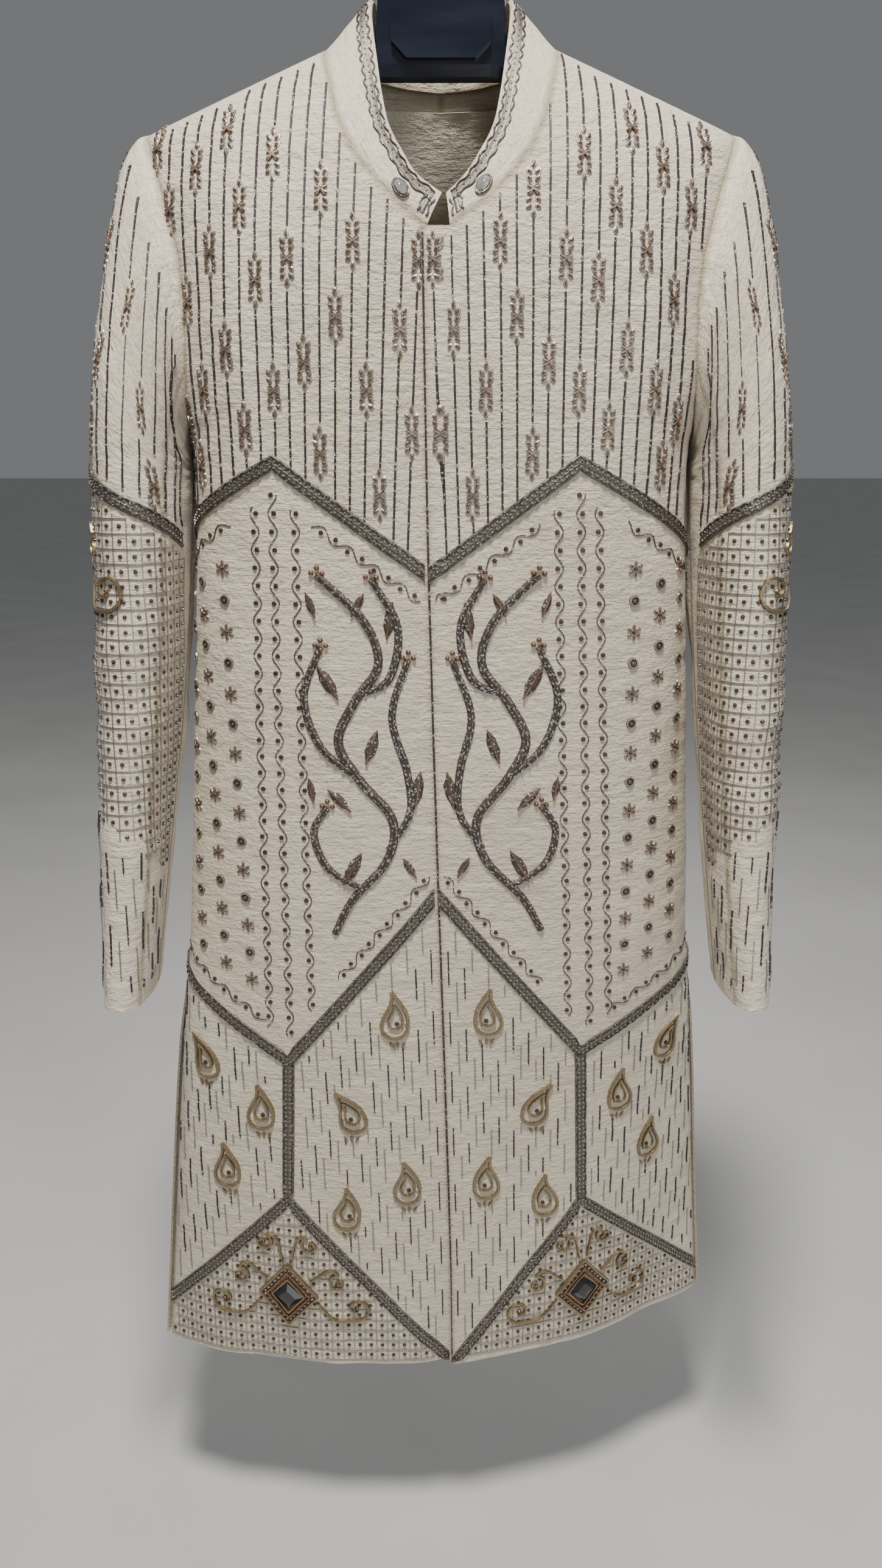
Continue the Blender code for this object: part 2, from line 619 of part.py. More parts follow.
def laid(name, panel, outlines, lift, look, swung=True):
    """A raised piece over a panel: the panel's own faces inside the outlines, moved out between two lifts."""
    points = panel["points"].reshape(-1, 3)
    normals = panel["normals"].reshape(-1, 3)
    flat = panel["flat"].reshape(-1, 2)
    places = []
    index = {}
    faces = []
    for tri in grid_faces(*panel["points"].shape[:2]):
        tri = np.array(tri)
        corners = flat[tri]
        for outline in outlines:
            if (corners.max(0) < outline.min(0)).any() or (corners.min(0) > outline.max(0)).any():
                continue
            polygon = clip(corners if is_anticlockwise(corners) else corners[::-1], outline)
            if len(polygon) < 3:
                continue
            face = []
            for place in polygon:
                key = tuple(np.round(place * 2e5).astype(int))
                if key not in index:
                    index[key] = len(places)
                    weights = blend(corners, place)
                    places.append((weights @ points[tri], weights @ normals[tri]))
                if index[key] not in face:
                    face.append(index[key])
            if len(face) > 2:
                faces.append(face)
    places = np.array(places)
    bottom = places[:, 0] + lift[0] * places[:, 1]
    top = places[:, 0] + lift[1] * places[:, 1]
    return closed_wall(name, top, bottom, faces, look, swung)


def is_anticlockwise(corners):
    (ax, ay), (bx, by), (cx, cy) = corners
    return (bx - ax) * (cy - ay) - (by - ay) * (cx - ax) > 0


def blend(corners, place):
    """Barycentric weights of a flat place in a flat triangle."""
    matrix = np.stack([corners[1] - corners[0], corners[2] - corners[0]], axis=-1)
    u, v = np.linalg.solve(matrix, place - corners[0])
    return np.array([1 - u - v, u, v])


def outward(points, normals):
    """The normals, turned so that they point away from the middle of each row."""
    middle = points.mean(axis=1, keepdims=True)
    return normals * np.sign(np.sum((points - middle) * normals))


def build_sleeve(sign, front, back):
    """Ring points, normals and flat places of a whole sleeve. Its armhole takes the body's own points."""
    first = SKIRT_ROWS
    down_front = front["points"][first:, -1][::-1]
    up_back = back["points"][first:, -1][1:-1]
    points = sleeve_grid(sign, np.concatenate([down_front, up_back]))
    normals = outward(points, grid_normals(points, 1, closed=True))
    front_seam = normals[0, :YOKE_ROWS + 1][::-1]
    back_seam = normals[0, np.r_[YOKE_ROWS:2 * YOKE_ROWS, 0]]
    mean_front = unit(front_seam + front["normals"][first:, -1])
    mean_back = unit(back_seam + back["normals"][first:, -1])
    tip = unit(mean_front[-1] + mean_back[-1])
    under = unit(mean_front[0] + mean_back[0])
    mean_front[-1], mean_back[-1] = tip, tip
    mean_front[0], mean_back[0] = under, under
    front["normals"][first:, -1] = mean_front
    back["normals"][first:, -1] = mean_back
    normals[0] = np.concatenate([mean_front[::-1], mean_back[1:-1]])
    steps = np.linalg.norm(np.roll(points, -1, axis=1) - points, axis=-1)
    ahead = np.cumsum(steps[:, :YOKE_ROWS], axis=1)
    behind = np.cumsum(steps[:, ::-1][:, :YOKE_ROWS], axis=1)
    run = np.concatenate([-ahead[:, ::-1], 0 * ahead[:, :1], behind], axis=1)
    order = np.r_[YOKE_ROWS:0:-1, 0, 2 * YOKE_ROWS - 1:YOKE_ROWS - 1:-1]
    level = (ring_column("outer_z") + ring_column("inner_z")) / 2
    flat = np.stack([run, np.broadcast_to(level[:, None], run.shape)], axis=-1)
    return {"points": points[:, order], "normals": normals[:, order], "flat": flat}


def part_of(panel, columns):
    return {key: value[:, columns] for key, value in panel.items()}


def build_collar(panels):
    """The collar's grid: rows from the neck seam up to its top edge, columns from the wearer's left end
    round the back to the right end. Its seam takes the body's own points."""
    halves = []
    for sign in (1, -1):
        front, back = panels["front", sign], panels["back", sign]
        end = SKIRT_ROWS + CENTRE_ROWS["front"] + 1
        middle = SKIRT_ROWS + CENTRE_ROWS["back"]
        base = np.concatenate([front["points"][end:, 0], back["points"][middle:, 0][::-1][1:]])
        front_steps = len(front["points"]) - 1 - end
        back_steps = len(back["points"]) - 1 - middle
        knots = np.concatenate([np.linspace(0, 6, front_steps + 1),
                                np.linspace(6, 9, back_steps + 1)[1:]])
        corners = np.array(COLLAR_TOP) * (sign, 1, 1)
        corners[0, 0] += 0.004 * (sign < 0)
        top = smooth_path(corners, 20)
        top = np.stack([np.interp(knots, np.linspace(0, 9, len(top)), top[:, k]) for k in range(3)], axis=-1)
        share = np.linspace(0, 1, COLLAR_ROWS + 1)[:, None, None]
        half = base[None] * (1 - share) + top[None] * share
        half = half + COLLAR_BULGE * 4 * share * (1 - share) * unit(half * (1, 1, 0))
        halves.append(half)
    points = np.concatenate([halves[0], halves[1][:, ::-1][:, 1:]], axis=1)
    normals = outward(points, grid_normals(points, 1))
    columns = [0]
    half_count = halves[0].shape[1]
    for sign in (1, -1):
        front, back = panels["front", sign], panels["back", sign]
        end = SKIRT_ROWS + CENTRE_ROWS["front"] + 1
        middle = SKIRT_ROWS + CENTRE_ROWS["back"]
        line = normals[0, :half_count] if sign > 0 else normals[0, ::-1][:half_count]
        split = len(front["points"]) - end
        mean_front = unit(line[:split] + front["normals"][end:, 0])
        mean_back = unit(line[split - 1:] + back["normals"][middle:, 0][::-1])
        shoulder = unit(mean_front[-1] + mean_back[0])
        mean_front[-1], mean_back[0] = shoulder, shoulder
        front["normals"][end:, 0] = mean_front
        back["normals"][middle:, 0] = mean_back[::-1]
        line[:split] = mean_front
        line[split - 1:] = mean_back
    return {"points": points, "normals": normals}


def build_lining():
    """The back's lining, where the neck opening shows it."""
    a = np.linspace(-0.088, 0.088, 9)[None, :]
    z = np.linspace(-0.400, -0.162, 8)[:, None]
    a, z = np.broadcast_arrays(a, z)
    points = surface("back", a, z, WALL + 0.0014)
    return {"points": points, "normals": outward(points, grid_normals(points, 1))}


def frame_at(panel, place):
    """The point, normal and upward tangent of a panel at a flat place."""
    points = panel["points"].reshape(-1, 3)
    normals = panel["normals"].reshape(-1, 3)
    flat = panel["flat"].reshape(-1, 2)
    best = None
    for tri in grid_faces(*panel["points"].shape[:2]):
        tri = list(tri)
        weights = blend(flat[tri], np.array(place))
        if best is None or weights.min() > best[0]:
            best = (weights.min(), weights, tri)
    _, weights, tri = best
    normal = unit(weights @ normals[tri])
    up = unit(np.array([0, 0, 1]) - normal[2] * normal)
    return weights @ points[tri], normal, up


def cut_stone(name, at, half, lift, swung):
    """A four-sided cut stone standing point up on a raised frame."""
    point, normal, up = at
    across = np.cross(up, normal)
    levels = [(1.0, lift), (1.0, lift + 0.0012), (0.45, lift + STONE_HEIGHT)]
    rings = []
    for scale, height in levels:
        for direction in (up, across, -up, -across):
            rings.append(point + normal * height + direction * half * scale)
    faces = [(0, 1, 2, 3), (11, 10, 9, 8)]
    for level in range(2):
        for k in range(4):
            start, after = level * 4 + k, level * 4 + (k + 1) % 4
            faces.append((start, start + 4, after + 4, after))
    place_solid(name, np.array(rings), faces, "stone", swung)


def place_solid(name, points, faces, look, swung=False):
    """An object from closed faces, turned right side out."""
    volume = 0.0
    for face in faces:
        for k in range(1, len(face) - 1):
            volume += np.linalg.det(points[[face[0], face[k], face[k + 1]]])
    faces = [face[::-1] for face in faces] if volume < 0 else faces
    return add_object(name, hang(points) if swung else points, faces, look)


def lofted(name, rings, look):
    """A closed solid through rings with as many points each, capped at both ends."""
    count = len(rings[0])
    faces = [tuple(range(count)), tuple((len(rings) - 1) * count + k for k in range(count))[::-1]]
    for i in range(len(rings) - 1):
        for k in range(count):
            start, after = i * count + k, i * count + (k + 1) % count
            faces.append((start, start + count, after + count, after))
    return place_solid(name, np.concatenate(rings), faces, look)


def collar_stud(name, collar, x, z):
    """A small domed stone on the collar at an x and z."""
    points, normals = collar["points"], collar["normals"]
    last = points.shape[1] - 1
    fine_rows, fine_columns = np.linspace(0, COLLAR_ROWS, 31), np.linspace(0, last, last * 12 + 1)
    rows, columns = np.meshgrid(fine_rows, fine_columns, indexing="ij")
    i, j = rows.astype(int).clip(0, COLLAR_ROWS - 1), columns.astype(int).clip(0, last - 1)
    u, v = (rows - i)[..., None], (columns - j)[..., None]
    fine = [(grid[i, j] * (1 - u) + grid[i + 1, j] * u) * (1 - v)
            + (grid[i, j + 1] * (1 - u) + grid[i + 1, j + 1] * u) * v for grid in (points, normals)]
    far = np.hypot(fine[0][..., 0] - x, fine[0][..., 2] - z) + 10 * (fine[0][..., 1] > 0)
    best = np.unravel_index(far.argmin(), far.shape)
    point, normal = fine[0][best], unit(fine[1][best])
    up = unit(np.array([0, 0, 1]) - normal[2] * normal)
    across = np.cross(up, normal)
    turns = np.linspace(0, 2 * np.pi, 12, endpoint=False)[:, None]
    circle = STUD_RADIUS * (across * np.cos(turns) + up * np.sin(turns))
    levels = [(1.0, 0.0), (1.0, 0.0008), (0.72, 0.8 * STUD_HEIGHT), (0.3, STUD_HEIGHT)]
    rings = [point + normal * (STUD_LIFT + height) + circle * radius for radius, height in levels]
    lofted(name, rings, "clear")


def leaf_outline(a, z, angle, length):
    """A pointed leaf about its middle, as one convex flat outline."""
    share = np.linspace(-1, 1, 7)
    half = VINE_LEAF_WIDTH / 2 * (1 - np.abs(share) ** 1.7)
    along_leaf = share * length / 2
    outline = np.concatenate([np.stack([along_leaf, -half], axis=-1),
                              np.stack([along_leaf, half], axis=-1)[::-1][1:-1]])
    c, s = np.cos(np.radians(angle)), np.sin(np.radians(angle))
    return anticlockwise(outline @ np.array([[c, s], [-s, c]]) + (a, z))


def visible_front(sign):
    """The flat area of a front that the other front leaves in sight."""
    if sign > 0:
        return anticlockwise([(-0.1, 0), (0.4, 0), (0.4, -1.3), (-0.1, -1.3)])
    top, bottom = LAP_EDGE
    return anticlockwise([(top[1] - 0.0015, top[0] + 0.1), (bottom[1] - 0.0015, bottom[0] - 0.05),
                          (-0.4, bottom[0] - 0.05), (-0.4, top[0] + 0.1)])


def shown(outlines, sign):
    """Outlines cut to what shows of one front."""
    cut = [clip(anticlockwise(outline), visible_front(sign)) for outline in outlines]
    return [outline for outline in cut if len(outline) > 2]


def from_lap(places, sign):
    """Flat places from (out from the lap edge, z)."""
    places = np.array(places, float)
    lap = edge_a("front", 1, places[:, 1])
    return np.stack([lap + sign * places[:, 0], places[:, 1]], axis=-1)


def build_front_work(front, sign, word):
    """What is sewn raised on one front."""
    for name, paths in (("yoke", YOKE_BAND), ("hip", HIP_BAND), ("drop", DROP_BAND), ("hem", HEM_BAND)):
        outlines = shown(ribbon(paths[sign], BAND_WIDTH), sign)
        laid(f"{name}_band_{word}", front, outlines, BAND_LIFT, "zari")
    stem = smooth_path(from_lap(VINE_STEM, sign), 3)
    taper = VINE_WIDTH * (0.55 + 0.45 * np.sin(np.pi * np.linspace(0.1, 0.9, len(stem))))
    laid(f"vine_stem_{word}", front, ribbon(stem, taper), VINE_LIFT, "cord")
    for number, leaf in enumerate(VINE_LEAVES, 1):
        outline = anticlockwise(from_lap(leaf_outline(*leaf), sign))
        laid(f"vine_leaf_{word}_{number}", front, [outline], LEAF_LIFT, "cord")
    add_framed_stone("hem", word, front, HEM_STONE[sign], True)


def add_framed_stone(kind, word, panel, place, swung):
    half = STONE_FRAME_HALF[kind]
    diamond = anticlockwise([(half, 0), (0, half), (-half, 0), (0, -half)]) + place
    laid(f"{kind}_frame_{word}", panel, [diamond], FRAME_LIFT, "frame", swung)
    cut_stone(f"{kind}_stone_{word}", frame_at(panel, place), STONE_HALF[kind], FRAME_LIFT[1] + 0.0008, swung)


def build_hanger():
    turns = np.linspace(0, 2 * np.pi, HANGER_SIDES, endpoint=False)
    c, s = np.cos(turns), np.sin(turns)
    rings = []
    for x, top, bottom, half, power in np.concatenate([HANGER[:0:-1] * (-1, 1, 1, 1, 1), HANGER]):
        round_c = np.sign(c) * np.abs(c) ** (2 / power)
        round_s = np.sign(s) * np.abs(s) ** (2 / power)
        rings.append(np.stack([np.full(len(turns), x), half * round_c,
                               (top + bottom) / 2 + (top - bottom) / 2 * round_s], axis=-1))
    lofted("hanger_body", rings, "hanger")
    w, h, cut = *PLATE_HALF, PLATE_CHAMFER
    octagon = [(w - cut, -h), (w, cut - h), (w, h - cut), (w - cut, h),
               (cut - w, h), (-w, h - cut), (-w, cut - h), (cut - w, -h)]
    rings = [np.array([(x, y, PLATE_MIDDLE_Z + z) for x, z in octagon]) for y in PLATE_DEPTH]
    lofted("hanger_plate", rings, "hanger")


def build_hook():
    radius = HOOK_INNER_RADIUS + HOOK_WIRE
    start = np.radians(-50)
    stem = [(0.0, -0.0876), (0.0, -0.072), (0.001, -0.056), (0.0075, -0.0435)]
    bend = [(radius * np.cos(t), radius * np.sin(t) - HOOK_INNER_RADIUS)
            for t in np.linspace(start, np.radians(205), 22)]
    path = np.array(stem + bend)
    tangents = unit(np.gradient(path, axis=0))
    turns = np.linspace(0, 2 * np.pi, HOOK_SIDES, endpoint=False)
    rings = []
    for (x, z), (dx, dz) in zip(path, tangents):
        across = np.cos(turns) * HOOK_WIRE
        rings.append(np.stack([x - dz * across, np.sin(turns) * HOOK_WIRE, z + dx * across], axis=-1))
    lofted("hanger_hook", rings, "steel")


def main():
    words = {1: "left", -1: "right"}
    panels = {(side, sign): body_panel(side, sign) for side in ("front", "back") for sign in (1, -1)}
    sleeves = {sign: build_sleeve(sign, panels["front", sign], panels["back", sign]) for sign in (1, -1)}
    collar = build_collar(panels)
    for (side, sign), panel in panels.items():
        cloth(f"{side}_{words[sign]}", panel, WALL, "silk", ("start", "end", "top"))
    for sign, sleeve in sleeves.items():
        middle = YOKE_ROWS
        top = part_of(sleeve, np.s_[middle - TOP_SLEEVE_STEPS:middle + TOP_SLEEVE_STEPS + 1])
        under = np.r_[middle + TOP_SLEEVE_STEPS:2 * middle, 0:middle - TOP_SLEEVE_STEPS + 1]
        under = part_of(sleeve, under)
        edges = ("start", "end", "bottom")
        for name, panel in (("top", top), ("under", under)):
            cloth(f"sleeve_{name}_{words[sign]}", panel, SLEEVE_WALL, "silk", edges, SET_IN_TRIM, False)
        outlines = ribbon(SLEEVE_BAND, BAND_WIDTH)
        laid(f"sleeve_band_{words[sign]}", top, outlines, BAND_LIFT, "zari", swung=False)
        add_framed_stone("sleeve", words[sign], top, (0.0, SLEEVE_STONE_Z), False)
    cloth("collar", collar, COLLAR_WALL, "silk", ("bottom",), SET_IN_TRIM)
    cloth("back_lining", build_lining(), LINING_WALL, "lining", ())
    for sign, word in words.items():
        build_front_work(panels["front", sign], sign, word)
    collar_stud("collar_stud_left", collar, 0.0167, -0.240)
    collar_stud("collar_stud_right", collar, -0.0195, -0.244)
    build_hanger()
    build_hook()


main()
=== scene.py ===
"""The looks of a sherwani coat on its hanger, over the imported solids. Metres, +Z up, the front faces -Y.

The surfaces are those that the solids come from, drawn finer. Raised work is placed by its flat place (a, z)
on its panel, with a measured along the cloth from the centre line or crest, and by its height over the cloth.
"""

import bpy
import numpy as np
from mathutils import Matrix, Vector


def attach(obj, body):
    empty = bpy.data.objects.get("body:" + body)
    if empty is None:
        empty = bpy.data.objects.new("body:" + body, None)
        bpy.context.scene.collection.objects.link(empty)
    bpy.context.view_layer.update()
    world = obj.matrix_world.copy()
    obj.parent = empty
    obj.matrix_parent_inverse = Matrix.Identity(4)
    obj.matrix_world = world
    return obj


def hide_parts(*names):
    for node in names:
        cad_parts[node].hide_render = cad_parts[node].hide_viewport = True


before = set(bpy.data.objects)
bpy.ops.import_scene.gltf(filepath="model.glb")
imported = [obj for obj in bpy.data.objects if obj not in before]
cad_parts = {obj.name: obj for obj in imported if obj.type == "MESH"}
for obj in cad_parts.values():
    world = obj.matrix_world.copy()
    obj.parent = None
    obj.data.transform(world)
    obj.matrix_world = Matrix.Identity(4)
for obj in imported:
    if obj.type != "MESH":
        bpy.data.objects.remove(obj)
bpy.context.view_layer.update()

# Cloth walls and their seams.
WALL = 0.0020
SLEEVE_WALL = 0.0016
COLLAR_WALL = 0.0030
LINING_WALL = 0.0010
SEAM_TRIM = 0.00002
SEAM_REACH = 0.0035

# Levels down the garment, and how its laps, vents and skirt hang.
HIGH_SHOULDER = (0.081, -0.135)
SHOULDER_TIP = (0.214, -0.190)
UNDERARM_Z = -0.405
NECK_Z = -0.264
BACK_NECK_Z = -0.150
VENT_TOP_Z = -0.835
VENT_FLARE = (0.005, 0.0035)
HEM_Z = -1.234
UNDERLAP = 0.030
LAP_SINK = 0.0038
LAP_DROP = 0.004
CAP_DEPTH = {"front": 0.180, "back": 0.130}
TWIST = np.radians(7.8)
SWING_BACK = 0.009
TWIST_TOP_Z, TWIST_BOTTOM_Z = -0.40, -1.25

# Horizontal sections of the body, a row a level.
SECTION_COLUMNS = ("z", "half_width", "front", "back", "front_power", "back_power")
SECTIONS = np.array([
    (-0.090, 0.2300, 0.074, 0.078, 3.30, 3.3),
    (-0.190, 0.2240, 0.077, 0.078, 3.30, 3.3),
    (-0.231, 0.2160, 0.078, 0.078, 3.30, 3.3),
    (-0.279, 0.2080, 0.079, 0.077, 3.30, 3.3),
    (-0.311, 0.2040, 0.079, 0.076, 3.30, 3.3),
    (-0.364, 0.1990, 0.079, 0.073, 3.30, 3.3),
    (-0.405, 0.1920, 0.078, 0.070, 3.30, 3.3),
    (-0.468, 0.1930, 0.077, 0.065, 3.20, 3.3),
    (-0.567, 0.2000, 0.074, 0.061, 3.00, 3.2),
    (-0.755, 0.2145, 0.072, 0.061, 2.50, 3.0),
    (-0.835, 0.2215, 0.072, 0.060, 2.25, 2.8),
    (-0.982, 0.2380, 0.072, 0.057, 1.80, 2.5),
    (-1.260, 0.2640, 0.073, 0.052, 1.30, 2.2),
])

# Soft vertical folds of the body, a row a fold.
FOLD_COLUMNS = ("side", "a", "top", "bottom", "width", "depth")
FOLDS = [
    ("front", -0.150, -0.24, -0.47, 0.016, 0.0035),
    ("front", 0.156, -0.25, -0.46, 0.016, 0.0030),
    ("front", -0.120, -0.90, -1.30, 0.045, 0.0045),
    ("front", 0.128, -0.88, -1.30, 0.050, 0.0050),
    ("front", -0.215, -0.80, -1.30, 0.035, 0.0040),
    ("front", 0.215, -0.80, -1.30, 0.035, -0.0040),
    ("back", -0.150, -0.80, -1.30, 0.040, 0.0050),
    ("back", -0.065, -0.85, -1.30, 0.035, -0.0040),
    ("back", 0.070, -0.82, -1.30, 0.040, 0.0050),
    ("back", 0.165, -0.80, -1.30, 0.035, -0.0040),
]

# The lap edge of the wearer's left front, as x against z before the skirt swings round.
LAP_EDGE = np.array([(-0.264, -0.014), (-1.240, 0.000)])

# Seam lines as (x, z) on the body.
FRONT_NECK = [(0.030, -0.2475), (0.048, -0.230), (0.063, -0.211), (0.073, -0.189), (0.079, -0.162)]
BACK_NECK = [(0.030, -0.149), (0.055, -0.145), (0.073, -0.139)]
FRONT_ARMHOLE = [(0.204, -0.231), (0.197, -0.256), (0.191, -0.279), (0.189, -0.311), (0.1885, -0.345),
                 (0.190, -0.372), (0.1915, -0.393)]
BACK_ARMHOLE = [(0.206, -0.231), (0.200, -0.262), (0.196, -0.300), (0.194, -0.340), (0.193, -0.372),
                (0.192, -0.394)]

# Grid steps: fine enough for the cloth's small hollows.
COLUMNS = 58
SKIRT_ROWS = 180
YOKE_ROWS = 60
CENTRE_ROWS = {"front": 20, "back": 40}
LEDGE_ROWS = 4

# The sleeve, a row a ring: outer and inner edge, half depth and the middle's y.
SLEEVE_COLUMNS = ("outer_x", "outer_z", "inner_x", "inner_z", "half_depth", "middle_y")
SLEEVE_RINGS = np.array([
    (0.214, -0.190, 0.1920, -0.405, 0.050, 0.000),
    (0.224, -0.193, 0.1926, -0.408, 0.052, 0.000),
    (0.233, -0.204, 0.1932, -0.411, 0.055, 0.000),
    (0.240, -0.222, 0.1938, -0.414, 0.058, 0.000),
    (0.247, -0.250, 0.1944, -0.417, 0.061, -0.001),
    (0.253, -0.286, 0.1950, -0.421, 0.065, -0.002),
    (0.259, -0.326, 0.1955, -0.426, 0.069, -0.004),
    (0.264, -0.368, 0.1960, -0.432, 0.072, -0.006),
    (0.267, -0.410, 0.1965, -0.440, 0.073, -0.009),
    (0.269, -0.450, 0.1975, -0.458, 0.073, -0.012),
    (0.270, -0.500, 0.2000, -0.500, 0.072, -0.018),
    (0.270, -0.555, 0.2030, -0.555, 0.069, -0.027),
    (0.269, -0.612, 0.2065, -0.612, 0.066, -0.038),
    (0.267, -0.670, 0.2110, -0.670, 0.062, -0.050),
    (0.266, -0.728, 0.2160, -0.728, 0.059, -0.062),
    (0.265, -0.784, 0.2210, -0.784, 0.056, -0.073),
    (0.264, -0.837, 0.2265, -0.837, 0.054, -0.083),
])
RING_STEPS = 8
SLEEVE_POWER = 2.3
RIGHT_CUFF_OUT = 0.007
TOP_SLEEVE_SHARE = 11 / 15
BODY_CLEARANCE = 0.0035

# Slack creases on the sleeve: height, lean and size.
ELBOW_CREASES = ((-0.585, 0.35, 0.0016), (-0.625, 0.30, -0.0014), (-0.690, -0.25, 0.0012))

# The collar's top edge as (x, y, z), from the front end round to the centre back.
COLLAR_TOP = [(0.0035, -0.064, -0.241), (0.017, -0.061, -0.228), (0.027, -0.057, -0.213),
              (0.036, -0.050, -0.196), (0.041, -0.041, -0.176), (0.0455, -0.026, -0.147),
              (0.051, 0.000, -0.104), (0.047, 0.020, -0.101), (0.030, 0.035, -0.107),
              (0.000, 0.041, -0.110)]
COLLAR_ENDS = {1: 0.005, -1: -0.010}
COLLAR_ROWS = 14
COLLAR_BULGE = 0.0025

ROW_STEP = 0.005
ROW_Z = np.arange(-0.090, -1.2601, -ROW_STEP)
SHARES = np.linspace(0, 1, 81)

WORDS = {1: "left", -1: "right"}
SHARP_ANGLE = 55


def smoothstep(t):
    t = np.clip(t, 0, 1)
    return t * t * (3 - 2 * t)


def unit(v):
    return v / np.maximum(np.linalg.norm(v, axis=-1, keepdims=True), 1e-12)


def stacked(*columns):
    """Points from their columns."""
    return np.stack(columns, axis=-1)


def run_along(points):
    """The distance from a path's first point to each one."""
    return np.concatenate([[0], np.cumsum(np.linalg.norm(np.diff(points, axis=0), axis=-1))])


def points_at(at, knots, points):
    """A path's points at any knots."""
    return np.stack([np.interp(at, knots, column) for column in points.T], axis=-1)


def turned(angle, size=1.0):
    """The point or points at an angle round a circle."""
    return size * stacked(np.cos(angle), np.sin(angle))


def blend(grid, i, j, u, v):
    """A grid's values between its points, at shares u and v of the cell (i, j)."""
    near = grid[i, j] * (1 - v) + grid[i, j + 1] * v
    far = grid[i + 1, j] * (1 - v) + grid[i + 1, j + 1] * v
    return near * (1 - u) + far * u


def section_value(name, z):
    """A named column of SECTIONS at any height, with its corners rounded off."""
    column = SECTIONS[:, SECTION_COLUMNS.index(name)]
    rows = np.interp(-ROW_Z, -SECTIONS[:, 0], column)
    kernel = np.hanning(15)[1:-1]
    rows = np.convolve(np.pad(rows, 6, mode="edge"), kernel / kernel.sum(), mode="valid")
    return np.interp(-np.asarray(z, float), -ROW_Z, rows)


def shoulder_line(x):
    """The height of the shoulder seam above each x."""
    x = np.abs(x)
    slope = (SHOULDER_TIP[1] - HIGH_SHOULDER[1]) / (SHOULDER_TIP[0] - HIGH_SHOULDER[0])
    outside = HIGH_SHOULDER[1] + slope * (x - HIGH_SHOULDER[0])
    inside = HIGH_SHOULDER[1] + 0.2 * (HIGH_SHOULDER[0] - x)
    return np.where(x > HIGH_SHOULDER[0], outside, inside)


def section_point(side, angle, z):
    """x and y of the section at an angle from the centre line (0) to the side (a quarter turn)."""
    power = section_value(side + "_power", z)
    x = section_value("half_width", z) * np.sin(angle) ** (2 / power)
    share = np.clip((shoulder_line(x) - z) / CAP_DEPTH[side], 0, 1)
    cap = np.sqrt(1 - (1 - share) ** 2)
    y = section_value(side, z) * np.cos(angle) ** (2 / power) * cap
    return x, -y if side == "front" else y


def arc_tables(side):
    """For each row, its length from the centre line to the side, and the angle at each share of it."""
    angle = np.linspace(0, np.pi / 2, 321)
    lengths = []
    angles = []
    for z in ROW_Z:
        x, y = section_point(side, angle, z)
        run = run_along(stacked(x, y))
        lengths.append(run[-1])
        angles.append(np.interp(SHARES * run[-1], run, angle))
    return np.array(lengths), np.array(angles)


TABLES = {side: arc_tables(side) for side in ("front", "back")}


def side_length(side, z):
    return np.interp(-np.asarray(z, float), -ROW_Z, TABLES[side][0])


def plain_point(side, a, z):
    """The body's surface at the flat place (a, z), before folds."""
    a, z = np.broadcast_arrays(np.asarray(a, float), np.asarray(z, float))
    share = np.clip(np.abs(a) / side_length(side, z), 0, 1) * (len(SHARES) - 1)
    row = np.clip((ROW_Z[0] - z) / ROW_STEP, 0, len(ROW_Z) - 1.001)
    i, j = row.astype(int), np.minimum(share.astype(int), len(SHARES) - 2)
    x, y = section_point(side, blend(TABLES[side][1], i, j, row - i, share - j), z)
    return stacked(x * np.sign(a), y, z)


def fold_height(side, a, z):
    total = np.zeros(np.broadcast(a, z).shape)
    for row in FOLDS:
        fold = dict(zip(FOLD_COLUMNS, row))
        if fold["side"] != side:
            continue
        down = (fold["top"] - z) / (fold["top"] - fold["bottom"])
        strength = smoothstep(down) if fold["bottom"] < -1.2 else np.sin(np.pi * np.clip(down, 0, 1)) ** 2
        total += fold["depth"] * strength * np.exp(-(((a - fold["a"]) / fold["width"]) ** 2))
    return total


BROAD_WAVE, BROAD_HEIGHT = (0.048, 0.075), 0.0012
PUCKER_WAVE, PUCKER_HEIGHT = (0.015, 0.0085), 0.00062
NOISE_SIZE = 128
NOISE = np.random.default_rng(7).uniform(-1, 1, (4, NOISE_SIZE, NOISE_SIZE))
NOISE = np.pad(NOISE, ((0, 0), (0, 1), (0, 1)), mode="wrap")


def noise(layer, u, v):
    """Smooth seeded noise from -1 to 1."""
    i, j = np.floor(u).astype(int), np.floor(v).astype(int)
    return blend(NOISE[layer], i % NOISE_SIZE, j % NOISE_SIZE, smoothstep(u - i), smoothstep(v - j))


def crinkle(layer, a, z):
    """The small hollows of hand-worked raw silk: broad waves and short puckers across the cloth."""
    broad = noise(layer, a / BROAD_WAVE[0] + 9, z / BROAD_WAVE[1] + 40)
    pucker = noise(layer + 1, a / PUCKER_WAVE[0] + 3, z / PUCKER_WAVE[1] + 200)
    return BROAD_HEIGHT * broad + PUCKER_HEIGHT * pucker


